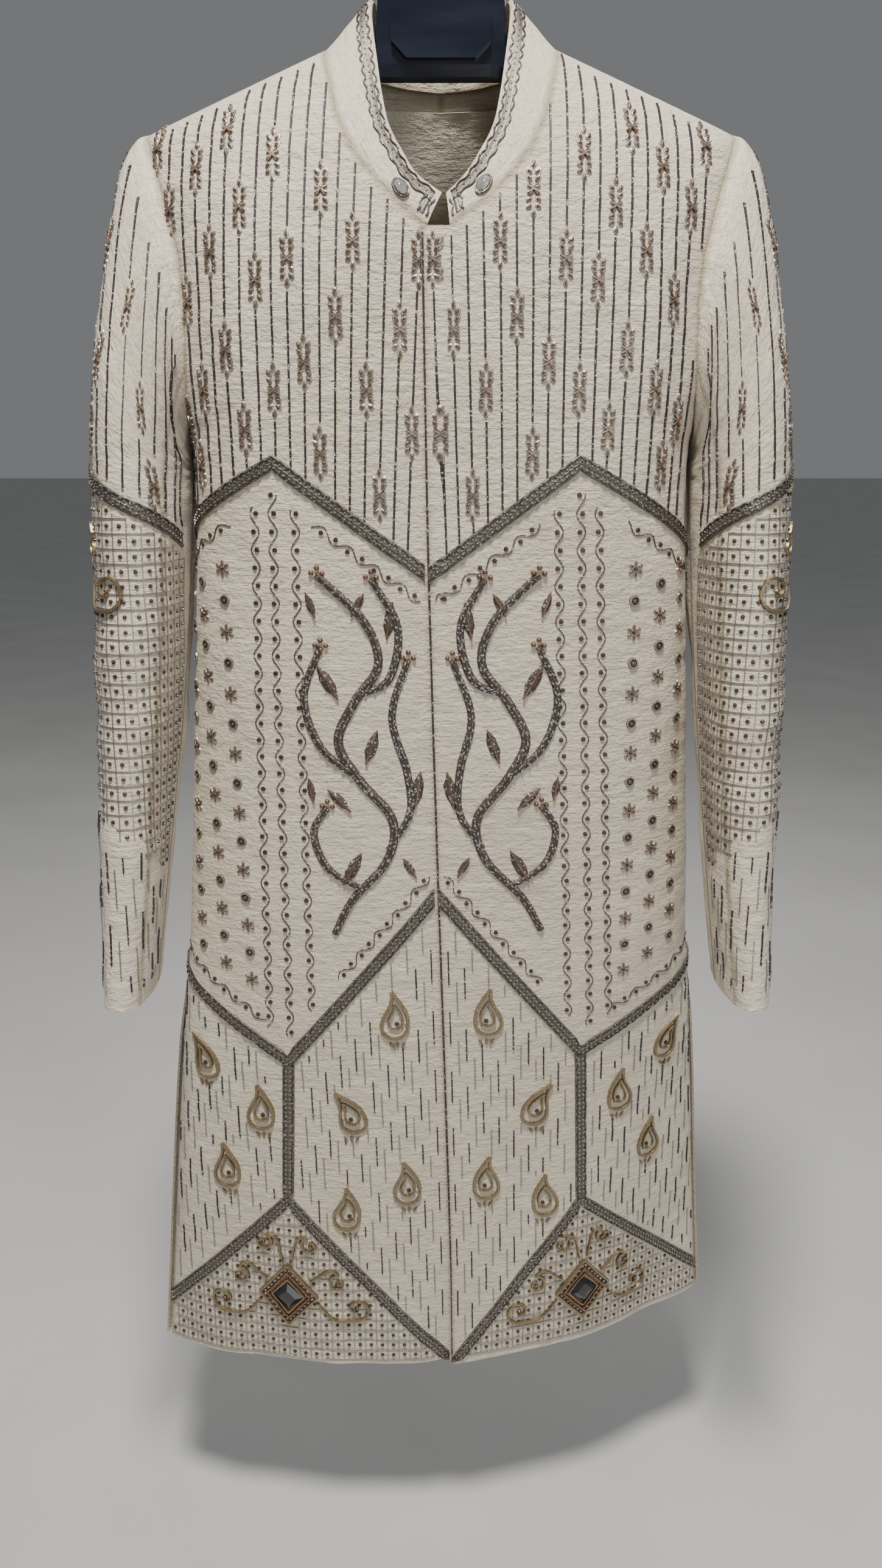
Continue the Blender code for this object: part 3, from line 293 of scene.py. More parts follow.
def surface(side, a, z, sunk=0.0):
    """The outer face of the body at (a, z), moved in by sunk."""
    a, z = np.broadcast_arrays(np.asarray(a, float), np.asarray(z, float))
    point = plain_point(side, a, z)
    step = plain_point(side, a + 0.001, z) - plain_point(side, a - 0.001, z)
    turn = -1 if side == "back" else 1
    normal = unit(stacked(turn * step[..., 1], -turn * step[..., 0], np.zeros(step.shape[:-1])))
    fade = smoothstep((side_length(side, z) - np.abs(a)) / 0.014)
    fade = fade * smoothstep((shoulder_line(point[..., 0]) - z) / 0.016)
    small = crinkle(0 if side == "front" else 2, a, z) * fade
    point = point + normal * (fold_height(side, a, z) + small - sunk)[..., None]
    if side == "back":
        edge = (np.abs(a) / side_length(side, z)) ** 4 * smoothstep((VENT_TOP_Z - z) / 0.10)
        point = point + stacked(VENT_FLARE[0] * edge * np.sign(a), VENT_FLARE[1] * edge, 0 * edge)
    return point


def flat_of(side, x, z):
    """The flat a of the body point that has this x and z."""
    power = section_value(side + "_power", z)
    share = np.clip(np.abs(x) / section_value("half_width", z), 0, 1)
    target = np.arcsin(share ** (power / 2))
    row = np.clip((ROW_Z[0] - z) / ROW_STEP, 0, len(ROW_Z) - 1.001)
    i = int(row)
    near = np.interp(target, TABLES[side][1][i], SHARES)
    far = np.interp(target, TABLES[side][1][i + 1], SHARES)
    return np.sign(x) * (near * (1 - row + i) + far * (row - i)) * side_length(side, z)


def swing_at(points):
    share = smoothstep((TWIST_TOP_Z - points[..., 2]) / (TWIST_TOP_Z - TWIST_BOTTOM_Z))
    return share, np.cos(share * TWIST), np.sin(share * TWIST)


def hang(points):
    """The skirt swings round a little and the wearer's left side falls back, as in the photo."""
    share, c, s = swing_at(points)
    x, y, z = np.moveaxis(points, -1, 0)
    return stacked(x * c - y * s, x * s + y * c + share * SWING_BACK, z)


def unhang(points):
    """Undoes hang."""
    share, c, s = swing_at(points)
    x, y, z = np.moveaxis(points, -1, 0)
    y = y - share * SWING_BACK
    return stacked(x * c + y * s, -x * s + y * c, z)


def along(side, corners, steps):
    """steps + 1 flat places evenly spaced along the line through corners, measured on the body."""
    corners = np.array(corners, float)
    knots = np.arange(len(corners))
    fine = np.linspace(0, len(corners) - 1, 600)
    flat = points_at(fine, knots, corners)
    run = run_along(plain_point(side, flat[:, 0], flat[:, 1]))
    return points_at(np.linspace(0, run[-1], steps + 1), run, flat)


def flats(side, sign, places):
    return [(flat_of(side, sign * x, z), z) for x, z in places]


def lap_a(z):
    return np.interp(-np.asarray(z, float), -LAP_EDGE[:, 0], LAP_EDGE[:, 1])


def edge_a(side, sign, z):
    """The flat a of a panel's centre edge: the lap edge, the hidden underlap edge, or the back's seam."""
    if side == "back":
        return 0 * z
    return lap_a(z) if sign > 0 else lap_a(z) + UNDERLAP


def centre_line(side, sign):
    """The panel's edge from the underarm level up the centre and round the neck to the high shoulder."""
    steps = CENTRE_ROWS[side]
    if side == "back":
        centre = stacked(np.zeros(steps + 1), np.linspace(UNDERARM_Z, BACK_NECK_Z, steps + 1))
        neck = along(side, flats(side, sign, [(0.0, BACK_NECK_Z)] + BACK_NECK + [HIGH_SHOULDER]),
                     YOKE_ROWS - steps)
        neck[0, 0] = 0.0
        return np.concatenate([centre, neck[1:]])
    neck_z = NECK_Z if sign > 0 else NECK_Z - 0.002
    z = np.linspace(UNDERARM_Z, neck_z, steps + 1)
    centre = stacked(edge_a(side, sign, z), z)
    end = np.array([COLLAR_ENDS[sign], NECK_Z])
    share = np.linspace(0, 1, LEDGE_ROWS + 1)[1:, None]
    ledge = centre[-1] * (1 - share) + end * share
    start = [tuple(end)] + flats(side, sign, FRONT_NECK + [HIGH_SHOULDER])
    neck = along(side, start, YOKE_ROWS - steps - LEDGE_ROWS)
    return np.concatenate([centre, ledge, neck[1:]])


def armhole_line(side, sign):
    holes = FRONT_ARMHOLE if side == "front" else BACK_ARMHOLE
    under = (sign * side_length(side, UNDERARM_Z), UNDERARM_Z)
    tip = flats(side, sign, [SHOULDER_TIP])
    return along(side, [under] + flats(side, sign, holes[::-1]) + tip, YOKE_ROWS)


def coons(left, right, bottom, top):
    """A flat patch between four edges that share their corners, a row a step of left and right."""
    v = np.linspace(0, 1, len(left))[:, None, None]
    u = np.linspace(0, 1, len(bottom))[None, :, None]
    across = (1 - u) * left[:, None] + u * right[:, None]
    upward = (1 - v) * bottom[None] + v * top[None]
    corners = ((1 - u) * (1 - v) * left[0] + u * (1 - v) * right[0]
               + (1 - u) * v * left[-1] + u * v * right[-1])
    return across + upward - corners


def body_grid(side, sign):
    """The flat places of a body panel: rows from the hem up to the neck and shoulder, columns from the
    centre to the side."""
    u = np.linspace(0, 1, COLUMNS + 1)
    skirt = []
    for share in np.linspace(0, 1, SKIRT_ROWS + 1)[:-1]:
        z = HEM_Z + share * (UNDERARM_Z - HEM_Z)
        drop = -LAP_DROP * (1 - share) * (1 - u) if (side, sign) == ("front", 1) else 0 * u
        a = edge_a(side, sign, np.array(z)) * (1 - u) + sign * side_length(side, z) * u
        skirt.append(stacked(a, z + drop))
    left = centre_line(side, sign)
    right = armhole_line(side, sign)
    bottom = stacked(left[0, 0] * (1 - u) + right[0, 0] * u, np.full(len(u), UNDERARM_Z))
    x = sign * (HIGH_SHOULDER[0] * (1 - u) + SHOULDER_TIP[0] * u)
    top = np.array([(flat_of(side, value, shoulder_line(value)), shoulder_line(value)) for value in x])
    left[-1], right[-1] = top[0], top[-1]
    return np.concatenate([np.array(skirt), coons(left, right, bottom, top)]), x


def grid_normals(points, sign, closed=False):
    """Outward normals of a grid whose rows go up and whose columns go round."""
    if closed:
        across = np.roll(points, -1, axis=1) - np.roll(points, 1, axis=1)
    else:
        across = np.gradient(points, axis=1)
    upward = np.gradient(points, axis=0)
    return sign * unit(np.cross(across, upward))


def lap_sink(side, sign, a, z):
    """How far the wearer's right front lies in under the left one."""
    if (side, sign) != ("front", -1):
        return 0 * a
    return LAP_SINK * smoothstep((a - lap_a(z) + UNDERLAP) / 0.024)


def body_panel(side, sign):
    """Points, normals and flat places of a body panel."""
    flat, top_x = body_grid(side, sign)
    points = surface(side, flat[..., 0], flat[..., 1], lap_sink(side, sign, flat[..., 0], flat[..., 1]))
    points[-1] = stacked(top_x, 0 * top_x, shoulder_line(top_x))
    normals = grid_normals(points, sign if side == "front" else -sign)
    normals[-1, :, 1] = 0
    normals[:SKIRT_ROWS + 1, -1, 1:] = 0
    if side == "back":
        normals[:SKIRT_ROWS + CENTRE_ROWS["back"], 0, 0] = 0
    return {"points": points, "normals": unit(normals), "flat": flat}


def body_place(side, sign):
    """A function from flat places and heights to points over a body panel."""
    def place(spots):
        a, z, height = np.moveaxis(np.asarray(spots, float), -1, 0)
        step = 0.0015

        def at(da, dz):
            return surface(side, a + da, z + dz, lap_sink(side, sign, a + da, z + dz))

        normal = unit(np.cross(at(step, 0) - at(-step, 0), at(0, step) - at(0, -step)))
        turn = 1 if side == "front" else -1
        return hang(at(0, 0) + turn * normal * height[..., None])
    return place


def smooth_path(corners, steps):
    """A rounded path through corners."""
    corners = np.asarray(corners, float)
    ends = [2 * corners[0] - corners[1]], corners, [2 * corners[-1] - corners[-2]]
    knots = np.concatenate(ends)
    out = []
    for k in range(1, len(knots) - 2):
        before, start, end, after = knots[k - 1:k + 3]
        for t in np.arange(steps) / steps:
            slope, bend = end - before, 2 * before - 5 * start + 4 * end - after
            twist = 3 * start - before - 3 * end + after
            out.append(start + (slope * t + bend * t ** 2 + twist * t ** 3) / 2)
    out.append(corners[-1])
    return np.array(out)


FINE_RINGS = smooth_path(SLEEVE_RINGS, RING_STEPS)


def ring_column(name):
    return FINE_RINGS[:, SLEEVE_COLUMNS.index(name)]


def section_clear(points):
    """How far out from the centre plane a sleeve point must be to clear the body, in the unswung frame."""
    y, z = points[..., 1], points[..., 2]
    power = np.where(y < 0, section_value("front_power", z), section_value("back_power", z))
    depth = np.where(y < 0, section_value("front", z), section_value("back", z))
    share = np.clip(np.abs(y) / depth, 0, 1)
    width = section_value("half_width", z) * (1 - share ** power) ** (1 / power)
    ease = BODY_CLEARANCE * smoothstep((UNDERARM_Z - z) / 0.03)
    return np.where((z < UNDERARM_Z) & (share < 1), width + ease, 0)


def sleeve_grid(sign, armhole):
    """Rings down the sleeve, from the armhole's own points to the cuff. Column 0 is the shoulder tip, the
    front comes next, the middle column is the underarm, and the back follows."""
    turns = np.linspace(0, 2 * np.pi, 2 * YOKE_ROWS, endpoint=False)
    c, s = np.cos(turns), np.sin(turns)
    reach = (1 + np.sign(c) * np.abs(c) ** (2 / SLEEVE_POWER)) / 2
    depth = -np.sign(s) * np.abs(s) ** (2 / SLEEVE_POWER)
    outer = stacked(ring_column("outer_x"), ring_column("outer_z"))
    inner = stacked(ring_column("inner_x"), ring_column("inner_z"))
    xz = inner[:, None] + (outer - inner)[:, None] * reach[None, :, None]
    y = ring_column("middle_y")[:, None] + ring_column("half_depth")[:, None] * depth[None]
    rings = stacked(sign * xz[..., 0], y, xz[..., 1])
    if sign < 0:
        rings[..., 0] -= RIGHT_CUFF_OUT * smoothstep((-0.50 - rings[..., 2]) / 0.34)
    number = np.arange(len(rings)) / RING_STEPS
    fade = 1 - smoothstep(number / 7)
    rings = rings + fade[:, None, None] * (armhole - rings[0])[None]
    push = np.maximum(section_clear(unhang(rings)) - sign * unhang(rings)[..., 0], 0)
    rings[..., 0] += sign * push * smoothstep(number)[:, None]
    return rings


def outward(points, normals):
    """The normals, turned so that they point away from the middle of each row."""
    middle = points.mean(axis=1, keepdims=True)
    return normals * np.sign(np.sum((points - middle) * normals))


def build_sleeve(sign, front, back):
    """Ring points, normals and flat places of a whole sleeve. Its armhole takes the body's own points."""
    first = SKIRT_ROWS
    down_front = front["points"][first:, -1][::-1]
    up_back = back["points"][first:, -1][1:-1]
    points = sleeve_grid(sign, np.concatenate([down_front, up_back]))
    normals = outward(points, grid_normals(points, 1, closed=True))
    steps = np.linalg.norm(np.roll(points, -1, axis=1) - points, axis=-1)
    ahead = np.cumsum(steps[:, :YOKE_ROWS], axis=1)
    behind = np.cumsum(steps[:, ::-1][:, :YOKE_ROWS], axis=1)
    run = np.concatenate([-ahead[:, ::-1], 0 * ahead[:, :1], behind], axis=1)
    order = np.r_[YOKE_ROWS:0:-1, 0, 2 * YOKE_ROWS - 1:YOKE_ROWS - 1:-1]
    level = (ring_column("outer_z") + ring_column("inner_z")) / 2
    flat = stacked(run, np.broadcast_to(level[:, None], run.shape))
    points, normals = points[:, order], normals[:, order]
    depth = smoothstep(np.arange(len(points)) / (2 * RING_STEPS))[:, None]
    around = smoothstep((1 - np.abs(np.linspace(-1, 1, points.shape[1]))) / 0.08)[None]
    fold = sleeve_folds(sign, flat[..., 0], flat[..., 1]) + crinkle(0, flat[..., 0] + sign, flat[..., 1])
    points = points + normals * (fold * depth * around)[..., None]
    return {"points": points, "normals": normals, "flat": flat}


def sleeve_folds(sign, s, z):
    """Slack creases that slant across the sleeve at the elbow."""
    total = 0 * s
    for level, lean, size in ELBOW_CREASES:
        off = z - level - lean * s * sign
        total += size * np.exp(-((off / 0.014) ** 2)) * smoothstep((s + 0.13) / 0.05)
    return total


def sleeve_place(sleeve):
    """A function from (arc from the outer crest, z, height) to points over a sleeve, front side negative."""
    points, normals, flat = sleeve["points"], sleeve["normals"], sleeve["flat"]
    spots = np.linspace(-0.175, 0.175, 281)
    tables = []
    for grid in (points, normals):
        tables.append(np.array([points_at(spots, row[:, 0], grid[i]) for i, row in enumerate(flat)]))
    levels = tables[0][..., 2]

    def place(at):
        s, z, height = np.moveaxis(np.asarray(at, float), -1, 0)
        column = np.clip((s - spots[0]) / (spots[1] - spots[0]), 0, len(spots) - 1.001)
        j = column.astype(int)
        v = column - j
        near = levels[:, j] * (1 - v) + levels[:, j + 1] * v
        i = np.clip((near > z).sum(axis=0) - 1, 0, len(levels) - 2)
        count = np.arange(len(z))
        above, below = near[i, count], near[i + 1, count]
        u = np.clip((above - z) / np.maximum(above - below, 1e-6), 0, 1)[..., None]
        found = [blend(table, i, j, u, v[..., None]) for table in tables]
        return found[0] + unit(found[1]) * height[..., None]
    return place


def build_collar(panels):
    """The collar's grid: rows from the neck seam up to its top edge, columns from the wearer's left end
    round the back to the right end. Its seam takes the body's own points."""
    halves = []
    for sign in (1, -1):
        front, back = panels["front", sign], panels["back", sign]
        end = SKIRT_ROWS + CENTRE_ROWS["front"] + LEDGE_ROWS
        middle = SKIRT_ROWS + CENTRE_ROWS["back"]
        base = np.concatenate([front["points"][end:, 0], back["points"][middle:, 0][::-1][1:]])
        knots = np.concatenate([np.linspace(0, 6, len(front["points"]) - end),
                                np.linspace(6, 9, len(back["points"]) - middle)[1:]])
        corners = np.array(COLLAR_TOP) * (sign, 1, 1)
        corners[0, 0] += 0.004 * (sign < 0)
        top = smooth_path(corners, 20)
        top = points_at(knots, np.linspace(0, 9, len(top)), top)
        share = np.linspace(0, 1, COLLAR_ROWS + 1)[:, None, None]
        half = base[None] * (1 - share) + top[None] * share
        half = half + COLLAR_BULGE * 4 * share * (1 - share) * unit(half * (1, 1, 0))
        halves.append(half)
    points = np.concatenate([halves[0], halves[1][:, ::-1][:, 1:]], axis=1)
    normals = outward(points, grid_normals(points, 1))
    run = run_along(points[-1])
    down = np.linalg.norm(points - points[-1][None], axis=-1)
    flat = stacked(np.broadcast_to(run, down.shape), -down)
    return {"points": points, "normals": normals, "flat": flat}


def collar_place(collar):
    """A function from (run along the top edge, depth below it as a negative z, height) to points."""
    points, normals, flat = collar["points"], collar["normals"], collar["flat"]
    run, rows = flat[0, :, 0], len(points) - 1

    def place(at):
        u, down, height = np.moveaxis(np.asarray(at, float), -1, 0)
        column = np.clip(np.interp(u, run, np.arange(len(run))), 0, len(run) - 1.001)
        j = column.astype(int)
        v = column - j
        deep = -(flat[0, j, 1] * (1 - v) + flat[0, j + 1, 1] * v)
        row = np.clip(rows * (1 - down / deep), 0, rows - 0.001)
        i = row.astype(int)
        found = [blend(grid, i, j, (row - i)[..., None], v[..., None]) for grid in (points, normals)]
        return hang(found[0] + unit(found[1]) * height[..., None])
    return place


def build_lining():
    """The back's lining, where the neck opening shows it."""
    a = np.linspace(-0.088, 0.088, 45)[None, :]
    z = np.linspace(-0.400, -0.162, 60)[:, None]
    a, z = np.broadcast_arrays(a, z)
    points = surface("back", a, z, WALL + 0.0014)
    normals = outward(points, grid_normals(points, 1))
    return {"points": points, "normals": normals, "flat": stacked(a, z)}


def make_mesh(name, points, faces, look, flat=None, seam_shade=None):
    mesh = bpy.data.meshes.new(name)
    mesh.from_pydata(points.tolist(), [], faces)
    mesh.polygons.foreach_set("use_smooth", np.ones(len(mesh.polygons), bool))
    mesh.set_sharp_from_angle(angle=np.radians(SHARP_ANGLE))
    if flat is not None:
        layer = mesh.attributes.new("flat", "FLOAT_VECTOR", "POINT")
        layer.data.foreach_set("vector", np.ascontiguousarray(flat, np.float32).ravel())
    # The seam share is stored only for the painted shade along the seams.
    if seam_shade is not None:
        layer = mesh.attributes.new("seam_shade", "FLOAT", "POINT")
        layer.data.foreach_set("value", np.ascontiguousarray(seam_shade, np.float32).ravel())
    mesh.materials.append(LOOKS[look])
    obj = bpy.data.objects.new(name, mesh)
    bpy.context.scene.collection.objects.link(obj)
    return obj


def declare(obj, nodes=()):
    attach(obj, "root")
    if nodes:
        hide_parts(*nodes)
    return obj


def wall_faces(rows, columns):
    """The faces of a closed wall: an outer grid, an inner grid and the rim between them."""
    index = np.arange(rows * columns).reshape(rows, columns)
    a, b, c, d = index[:-1, :-1], index[:-1, 1:], index[1:, 1:], index[1:, :-1]
    outer = stacked(a, b, c, d).reshape(-1, 4)
    inner = outer[:, ::-1] + rows * columns
    around = np.concatenate([index[0, :-1], index[:-1, -1], index[-1, :0:-1], index[:0:-1, 0]])
    after = np.roll(around, -1)
    rim = stacked(around, around + rows * columns, after + rows * columns, after)
    return np.concatenate([outer, inner, rim])


EDGE_LINES = {"start": (np.s_[:, 0], np.s_[:, 1]), "end": (np.s_[:, -1], np.s_[:, -2]),
              "bottom": (np.s_[0], np.s_[1]), "top": (np.s_[-1], np.s_[-2])}


def trimmed(points, edges, trim):
    """Moves the points on some edges a little way inwards."""
    points = points.copy()
    for edge in edges:
        line, inside = EDGE_LINES[edge]
        points[line] += trim * unit(points[inside] - points[line])
    return points


def seam_share(points, edges):
    """How near each grid point is to a seamed edge, from 1 on it to 0 some millimetres away."""
    reach = {}
    for axis, first, last in ((1, "start", "end"), (0, "bottom", "top")):
        steps = np.linalg.norm(np.diff(points, axis=axis), axis=-1)
        room = [(0, 0), (0, 0)]
        room[axis] = (1, 0)
        reach[first] = np.pad(np.cumsum(steps, axis=axis), room)
        reach[last] = np.flip(np.pad(np.cumsum(np.flip(steps, axis), axis=axis), room), axis)
    nearest = np.full(points.shape[:2], 1.0)
    for edge in edges:
        nearest = np.minimum(nearest, reach[edge])
    return np.exp(-((nearest / SEAM_REACH) ** 2))


def cloth(name, panel, wall, look, edges, node, swung=True):
    """A cloth wall behind a panel's points. Its seamed edges are trimmed a little, and their nearness is kept
    for the painted seam shade.
    """
    points, normals = panel["points"], panel["normals"]
    # Nearness to the seamed edges, used only for the painted seam shade.
    seam_shade = seam_share(points, edges)
    outer = trimmed(points, edges, SEAM_TRIM)
    inner = trimmed(points - wall * normals, edges, SEAM_TRIM)
    both = np.concatenate([outer.reshape(-1, 3), inner.reshape(-1, 3)])
    both = hang(both) if swung else both
    faces = wall_faces(*points.shape[:2])
    a, b, c = both[faces[0][0]], both[faces[0][1]], both[faces[0][2]]
    facing = np.sum(np.cross(b - a, c - a) * hang_normal(normals, points, swung)[0, 0])
    faces = faces if facing > 0 else faces[:, ::-1]
    flat = np.concatenate([panel["flat"], np.zeros(panel["flat"].shape[:2] + (1,))], axis=-1).reshape(-1, 3)
    flat = np.concatenate([flat, flat + (0, 0, wall)])
    obj = make_mesh(name, both, faces.tolist(), look, flat, np.concatenate([seam_shade.ravel(), seam_shade.ravel()]))
    return declare(obj, [node])


def hang_normal(normals, points, swung):
    if not swung:
        return normals
    return unit(hang(points + 1e-4 * normals) - hang(points))


def part_of(panel, columns):
    return {key: value[:, columns] for key, value in panel.items()}


def new_look(name, roughness, metallic=0.0, sheen=0.0, specular=0.5):
    look = bpy.data.materials.new(name)
    look.use_nodes = True
    shader = look.node_tree.nodes["Principled BSDF"]
    shader.inputs["Roughness"].default_value = roughness
    shader.inputs["Metallic"].default_value = metallic
    shader.inputs["Sheen Weight"].default_value = sheen
    shader.inputs["Specular IOR Level"].default_value = specular
    return look, look.node_tree, shader


def on_object(tree):
    return tree.nodes.new("ShaderNodeTexCoord").outputs["Object"]


def attribute(tree, name, output):
    node = tree.nodes.new("ShaderNodeAttribute")
    node.attribute_name = name
    return node.outputs[output]


def add_node(tree, kind, **inputs):
    node = tree.nodes.new(kind)
    for name, value in inputs.items():
        node.inputs[name.replace("_", " ")].default_value = value
    return node


def scaled(tree, source, scale):
    """A vector times a scale on each axis."""
    times = tree.nodes.new("ShaderNodeVectorMath")
    times.operation = "MULTIPLY"
    times.inputs[1].default_value = scale
    tree.links.new(source, times.inputs[0])
    return times.outputs[0]


def noise_at(tree, source, scale, detail=2.0, roughness=0.5):
    node = add_node(tree, "ShaderNodeTexNoise", Scale=1.0, Detail=detail, Roughness=roughness)
    tree.links.new(scaled(tree, source, scale), node.inputs["Vector"])
    return node.outputs["Fac"]


def ramp(tree, factor, stops):
    """A colour ramp with (place, colour) stops."""
    node = tree.nodes.new("ShaderNodeValToRGB")
    elements = node.color_ramp.elements
    elements[0].position, elements[1].position = stops[0][0], stops[-1][0]
    elements[0].color, elements[1].color = (*stops[0][1], 1), (*stops[-1][1], 1)
    for place, colour in stops[1:-1]:
        elements.new(place).color = (*colour, 1)
    tree.links.new(factor, node.inputs["Fac"])
    return node.outputs["Color"]


def mixed(tree, factor, first, second, mode="MIX"):
    node = tree.nodes.new("ShaderNodeMix")
    node.data_type = "RGBA"
    node.blend_type = mode
    for source, name in ((factor, "Factor"), (first, "A"), (second, "B")):
        socket = node.inputs[name]
        if hasattr(source, "is_linked"):
            tree.links.new(source, socket)
        else:
            socket.default_value = source
    return node.outputs["Result"]


def bumped(tree, shader, layers):
    """Bumps from (height, strength, distance) layers, one on another."""
    normal = None
    for height, strength, distance in layers:
        bump = add_node(tree, "ShaderNodeBump", Strength=strength, Distance=distance)
        tree.links.new(height, bump.inputs["Height"])
        if normal is not None:
            tree.links.new(normal, bump.inputs["Normal"])
        normal = bump.outputs["Normal"]
    tree.links.new(normal, shader.inputs["Normal"])


# The silk's noises over its flat cloth: their scale across, up and through it, detail and roughness.
SILK_NOISES = {
    "slub": ((70, 1500, 300), 3.0, 0.6),
    "thick": ((22, 420, 60), 2.0, 0.5),
    "weave": ((2600, 1900, 900), 1.0, 0.5),
    "pucker": ((105, 190, 40), 4.0, 0.65),
    "crease": ((330, 460, 150), 3.0, 0.6),
    "patch": ((9, 7, 3), 2.0, 0.5),
    "streak": ((9, 620, 5), 2.0, 0.7),
}

# The silk's bumps, one on another: their noise, strength and depth.
SILK_BUMPS = (("pucker", 1.0, 0.0030), ("crease", 0.9, 0.0010), ("thick", 0.8, 0.0008), ("slub", 0.7, 0.0004),
              ("weave", 0.4, 0.0001))
WHITE = (1, 1, 1)


def clouded(tree, shader, scale, detail, low, high):
    """Lets the base colour cloud between two tones, and gives back the noise behind it."""
    cloud = noise_at(tree, on_object(tree), scale, detail)
    tree.links.new(ramp(tree, cloud, [(0.3, low), (0.7, high)]), shader.inputs["Base Color"])
    return cloud


def silk_look(name, pale, deep, sheen):
    """Slubbed raw silk, with painted shade that darkens it along its seams."""
    look, tree, shader = new_look(name, 0.62, sheen=sheen, specular=0.35)
    shader.inputs["Sheen Roughness"].default_value = 0.45
    at = attribute(tree, "flat", "Vector")
    noises = {key: noise_at(tree, at, *row) for key, row in SILK_NOISES.items()}
    colour = ramp(tree, noises["slub"], [(0.32, deep), (0.62, pale)])
    shade = ramp(tree, noises["patch"], [(0.3, (0.90, 0.88, 0.85)), (0.7, WHITE)])
    thread = ramp(tree, noises["streak"], [(0.60, WHITE), (0.68, (0.74, 0.72, 0.68))])
    # Painted shade: the colour darkens towards the seamed edges, where the seams would fall into shade.
    seam_shade = attribute(tree, "seam_shade", "Fac")
    dark = ramp(tree, seam_shade, [(0.15, WHITE), (0.95, (0.62, 0.58, 0.52))])
    for share, layer in ((0.8, shade), (0.8, thread), (1.0, dark)):
        colour = mixed(tree, share, colour, layer, "MULTIPLY")
    tree.links.new(colour, shader.inputs["Base Color"])
    gloss = ramp(tree, noises["thick"], [(0.3, (0.50,) * 3), (0.7, (0.72,) * 3)])
    tree.links.new(gloss, shader.inputs["Roughness"])
    bumped(tree, shader, [(noises[key], strength, distance) for key, strength, distance in SILK_BUMPS])
    return look


def thread_look(name, dark, light, roughness, metallic, scale=900.0, glint=None):
    """Wound thread, cord or metal work: fine streaks, and where a glint is given, small bright spots in the
    colour that are partly tiny silver stitches and partly painted highlights.
    """
    look, tree, shader = new_look(name, roughness, metallic)
    place = on_object(tree)
    streak = noise_at(tree, place, (scale, scale, scale * 1.4), 2.0)
    colour = ramp(tree, streak, [(0.35, dark), (0.65, light)])
    # Painted highlight: scattered bright spots in the base colour, partly standing for tiny silver stitches.
    if glint is not None:
        spark = noise_at(tree, place, (520, 520, 520), 1.0)
        share = ramp(tree, spark, [(0.60, (0, 0, 0)), (0.68, WHITE)])
        colour = mixed(tree, share, colour, (*glint, 1))
    tree.links.new(colour, shader.inputs["Base Color"])
    bumped(tree, shader, [(streak, 0.6, 0.0003)])
    return look


def stone_look(name, colour, roughness, transmission=0.0):
    look, tree, shader = new_look(name, roughness, specular=0.8)
    clouded(tree, shader, (260, 260, 260), 2.0, tuple(0.6 * c for c in colour), colour)
    shader.inputs["Transmission Weight"].default_value = transmission
    return look


def gloss_look(name, colour, roughness, coat):
    look, tree, shader = new_look(name, roughness)
    cloud = clouded(tree, shader, (14, 14, 60), 3.0, tuple(0.75 * c for c in colour), colour)
    rough = ramp(tree, cloud, [(0.3, (roughness,) * 3), (0.7, (roughness + 0.12,) * 3)])
    tree.links.new(rough, shader.inputs["Roughness"])
    fine = noise_at(tree, on_object(tree), (420, 420, 420), 2.0)
    bumped(tree, shader, [(fine, 0.08, 0.0002)])
    shader.inputs["Coat Weight"].default_value = coat
    shader.inputs["Coat Roughness"].default_value = 0.08
    return look


def steel_look():
    look, tree, shader = new_look("bright_hook", 0.22, metallic=1.0)
    brushed = clouded(tree, shader, (300, 2600, 300), 2.0, (0.55, 0.55, 0.57), (0.78, 0.78, 0.80))
    bumped(tree, shader, [(brushed, 0.15, 0.0001)])
    return look


LOOKS = {
    "silk": silk_look("raw_silk_ivory", (0.75, 0.68, 0.55), (0.56, 0.49, 0.375), 0.20),
    # The lining is its own beige, lightened to paint in the light that falls on it through the neck opening.
    "lining": silk_look("lining_beige_painted_light", (0.88, 0.82, 0.68), (0.80, 0.74, 0.60), 0.10),
    "zari": thread_look("zari_dull", (0.062, 0.053, 0.042), (0.26, 0.23, 0.185), 0.45, 0.5, 1100.0),
    # The glints of the dark and the taupe cords are painted highlights, partly tiny silver stitches.
    "cord": thread_look("cord_aubergine", (0.014, 0.009, 0.011), (0.052, 0.036, 0.038), 0.5, 0.2, 1500.0,
                        glint=(0.42, 0.40, 0.38)),
    "taupe": thread_look("cord_taupe", (0.034, 0.026, 0.021), (0.135, 0.105, 0.085), 0.5, 0.35, 1000.0,
                         glint=(0.50, 0.47, 0.44)),
    "silver": thread_look("bead_silver", (0.22, 0.205, 0.185), (0.50, 0.475, 0.44), 0.36, 0.8),
    "copper": thread_look("sequin_copper", (0.10, 0.055, 0.036), (0.33, 0.20, 0.135), 0.36, 0.7),
    "gold": thread_look("thread_gold", (0.12, 0.088, 0.048), (0.42, 0.33, 0.205), 0.38, 0.75, 1300.0),
    "brown": thread_look("bead_brown", (0.030, 0.017, 0.014), (0.10, 0.06, 0.045), 0.3, 0.3),
    "black": stone_look("stone_black", (0.02, 0.02, 0.022), 0.06),
    "clear": stone_look("stone_clear", (0.70, 0.70, 0.68), 0.05, 0.7),
    "hanger": gloss_look("hanger_navy", (0.006, 0.009, 0.019), 0.16, 0.4),
    "steel": steel_look(),
}


# Widths, heights and pitches of the raised work.
SUNK = 0.00035
BAND_WIDTH = 0.0108
BAND_START = {1: 0.0005, -1: -0.0022}
BAND_BEAD_STEP = 0.0045
LINE_WIDTH = 0.0019
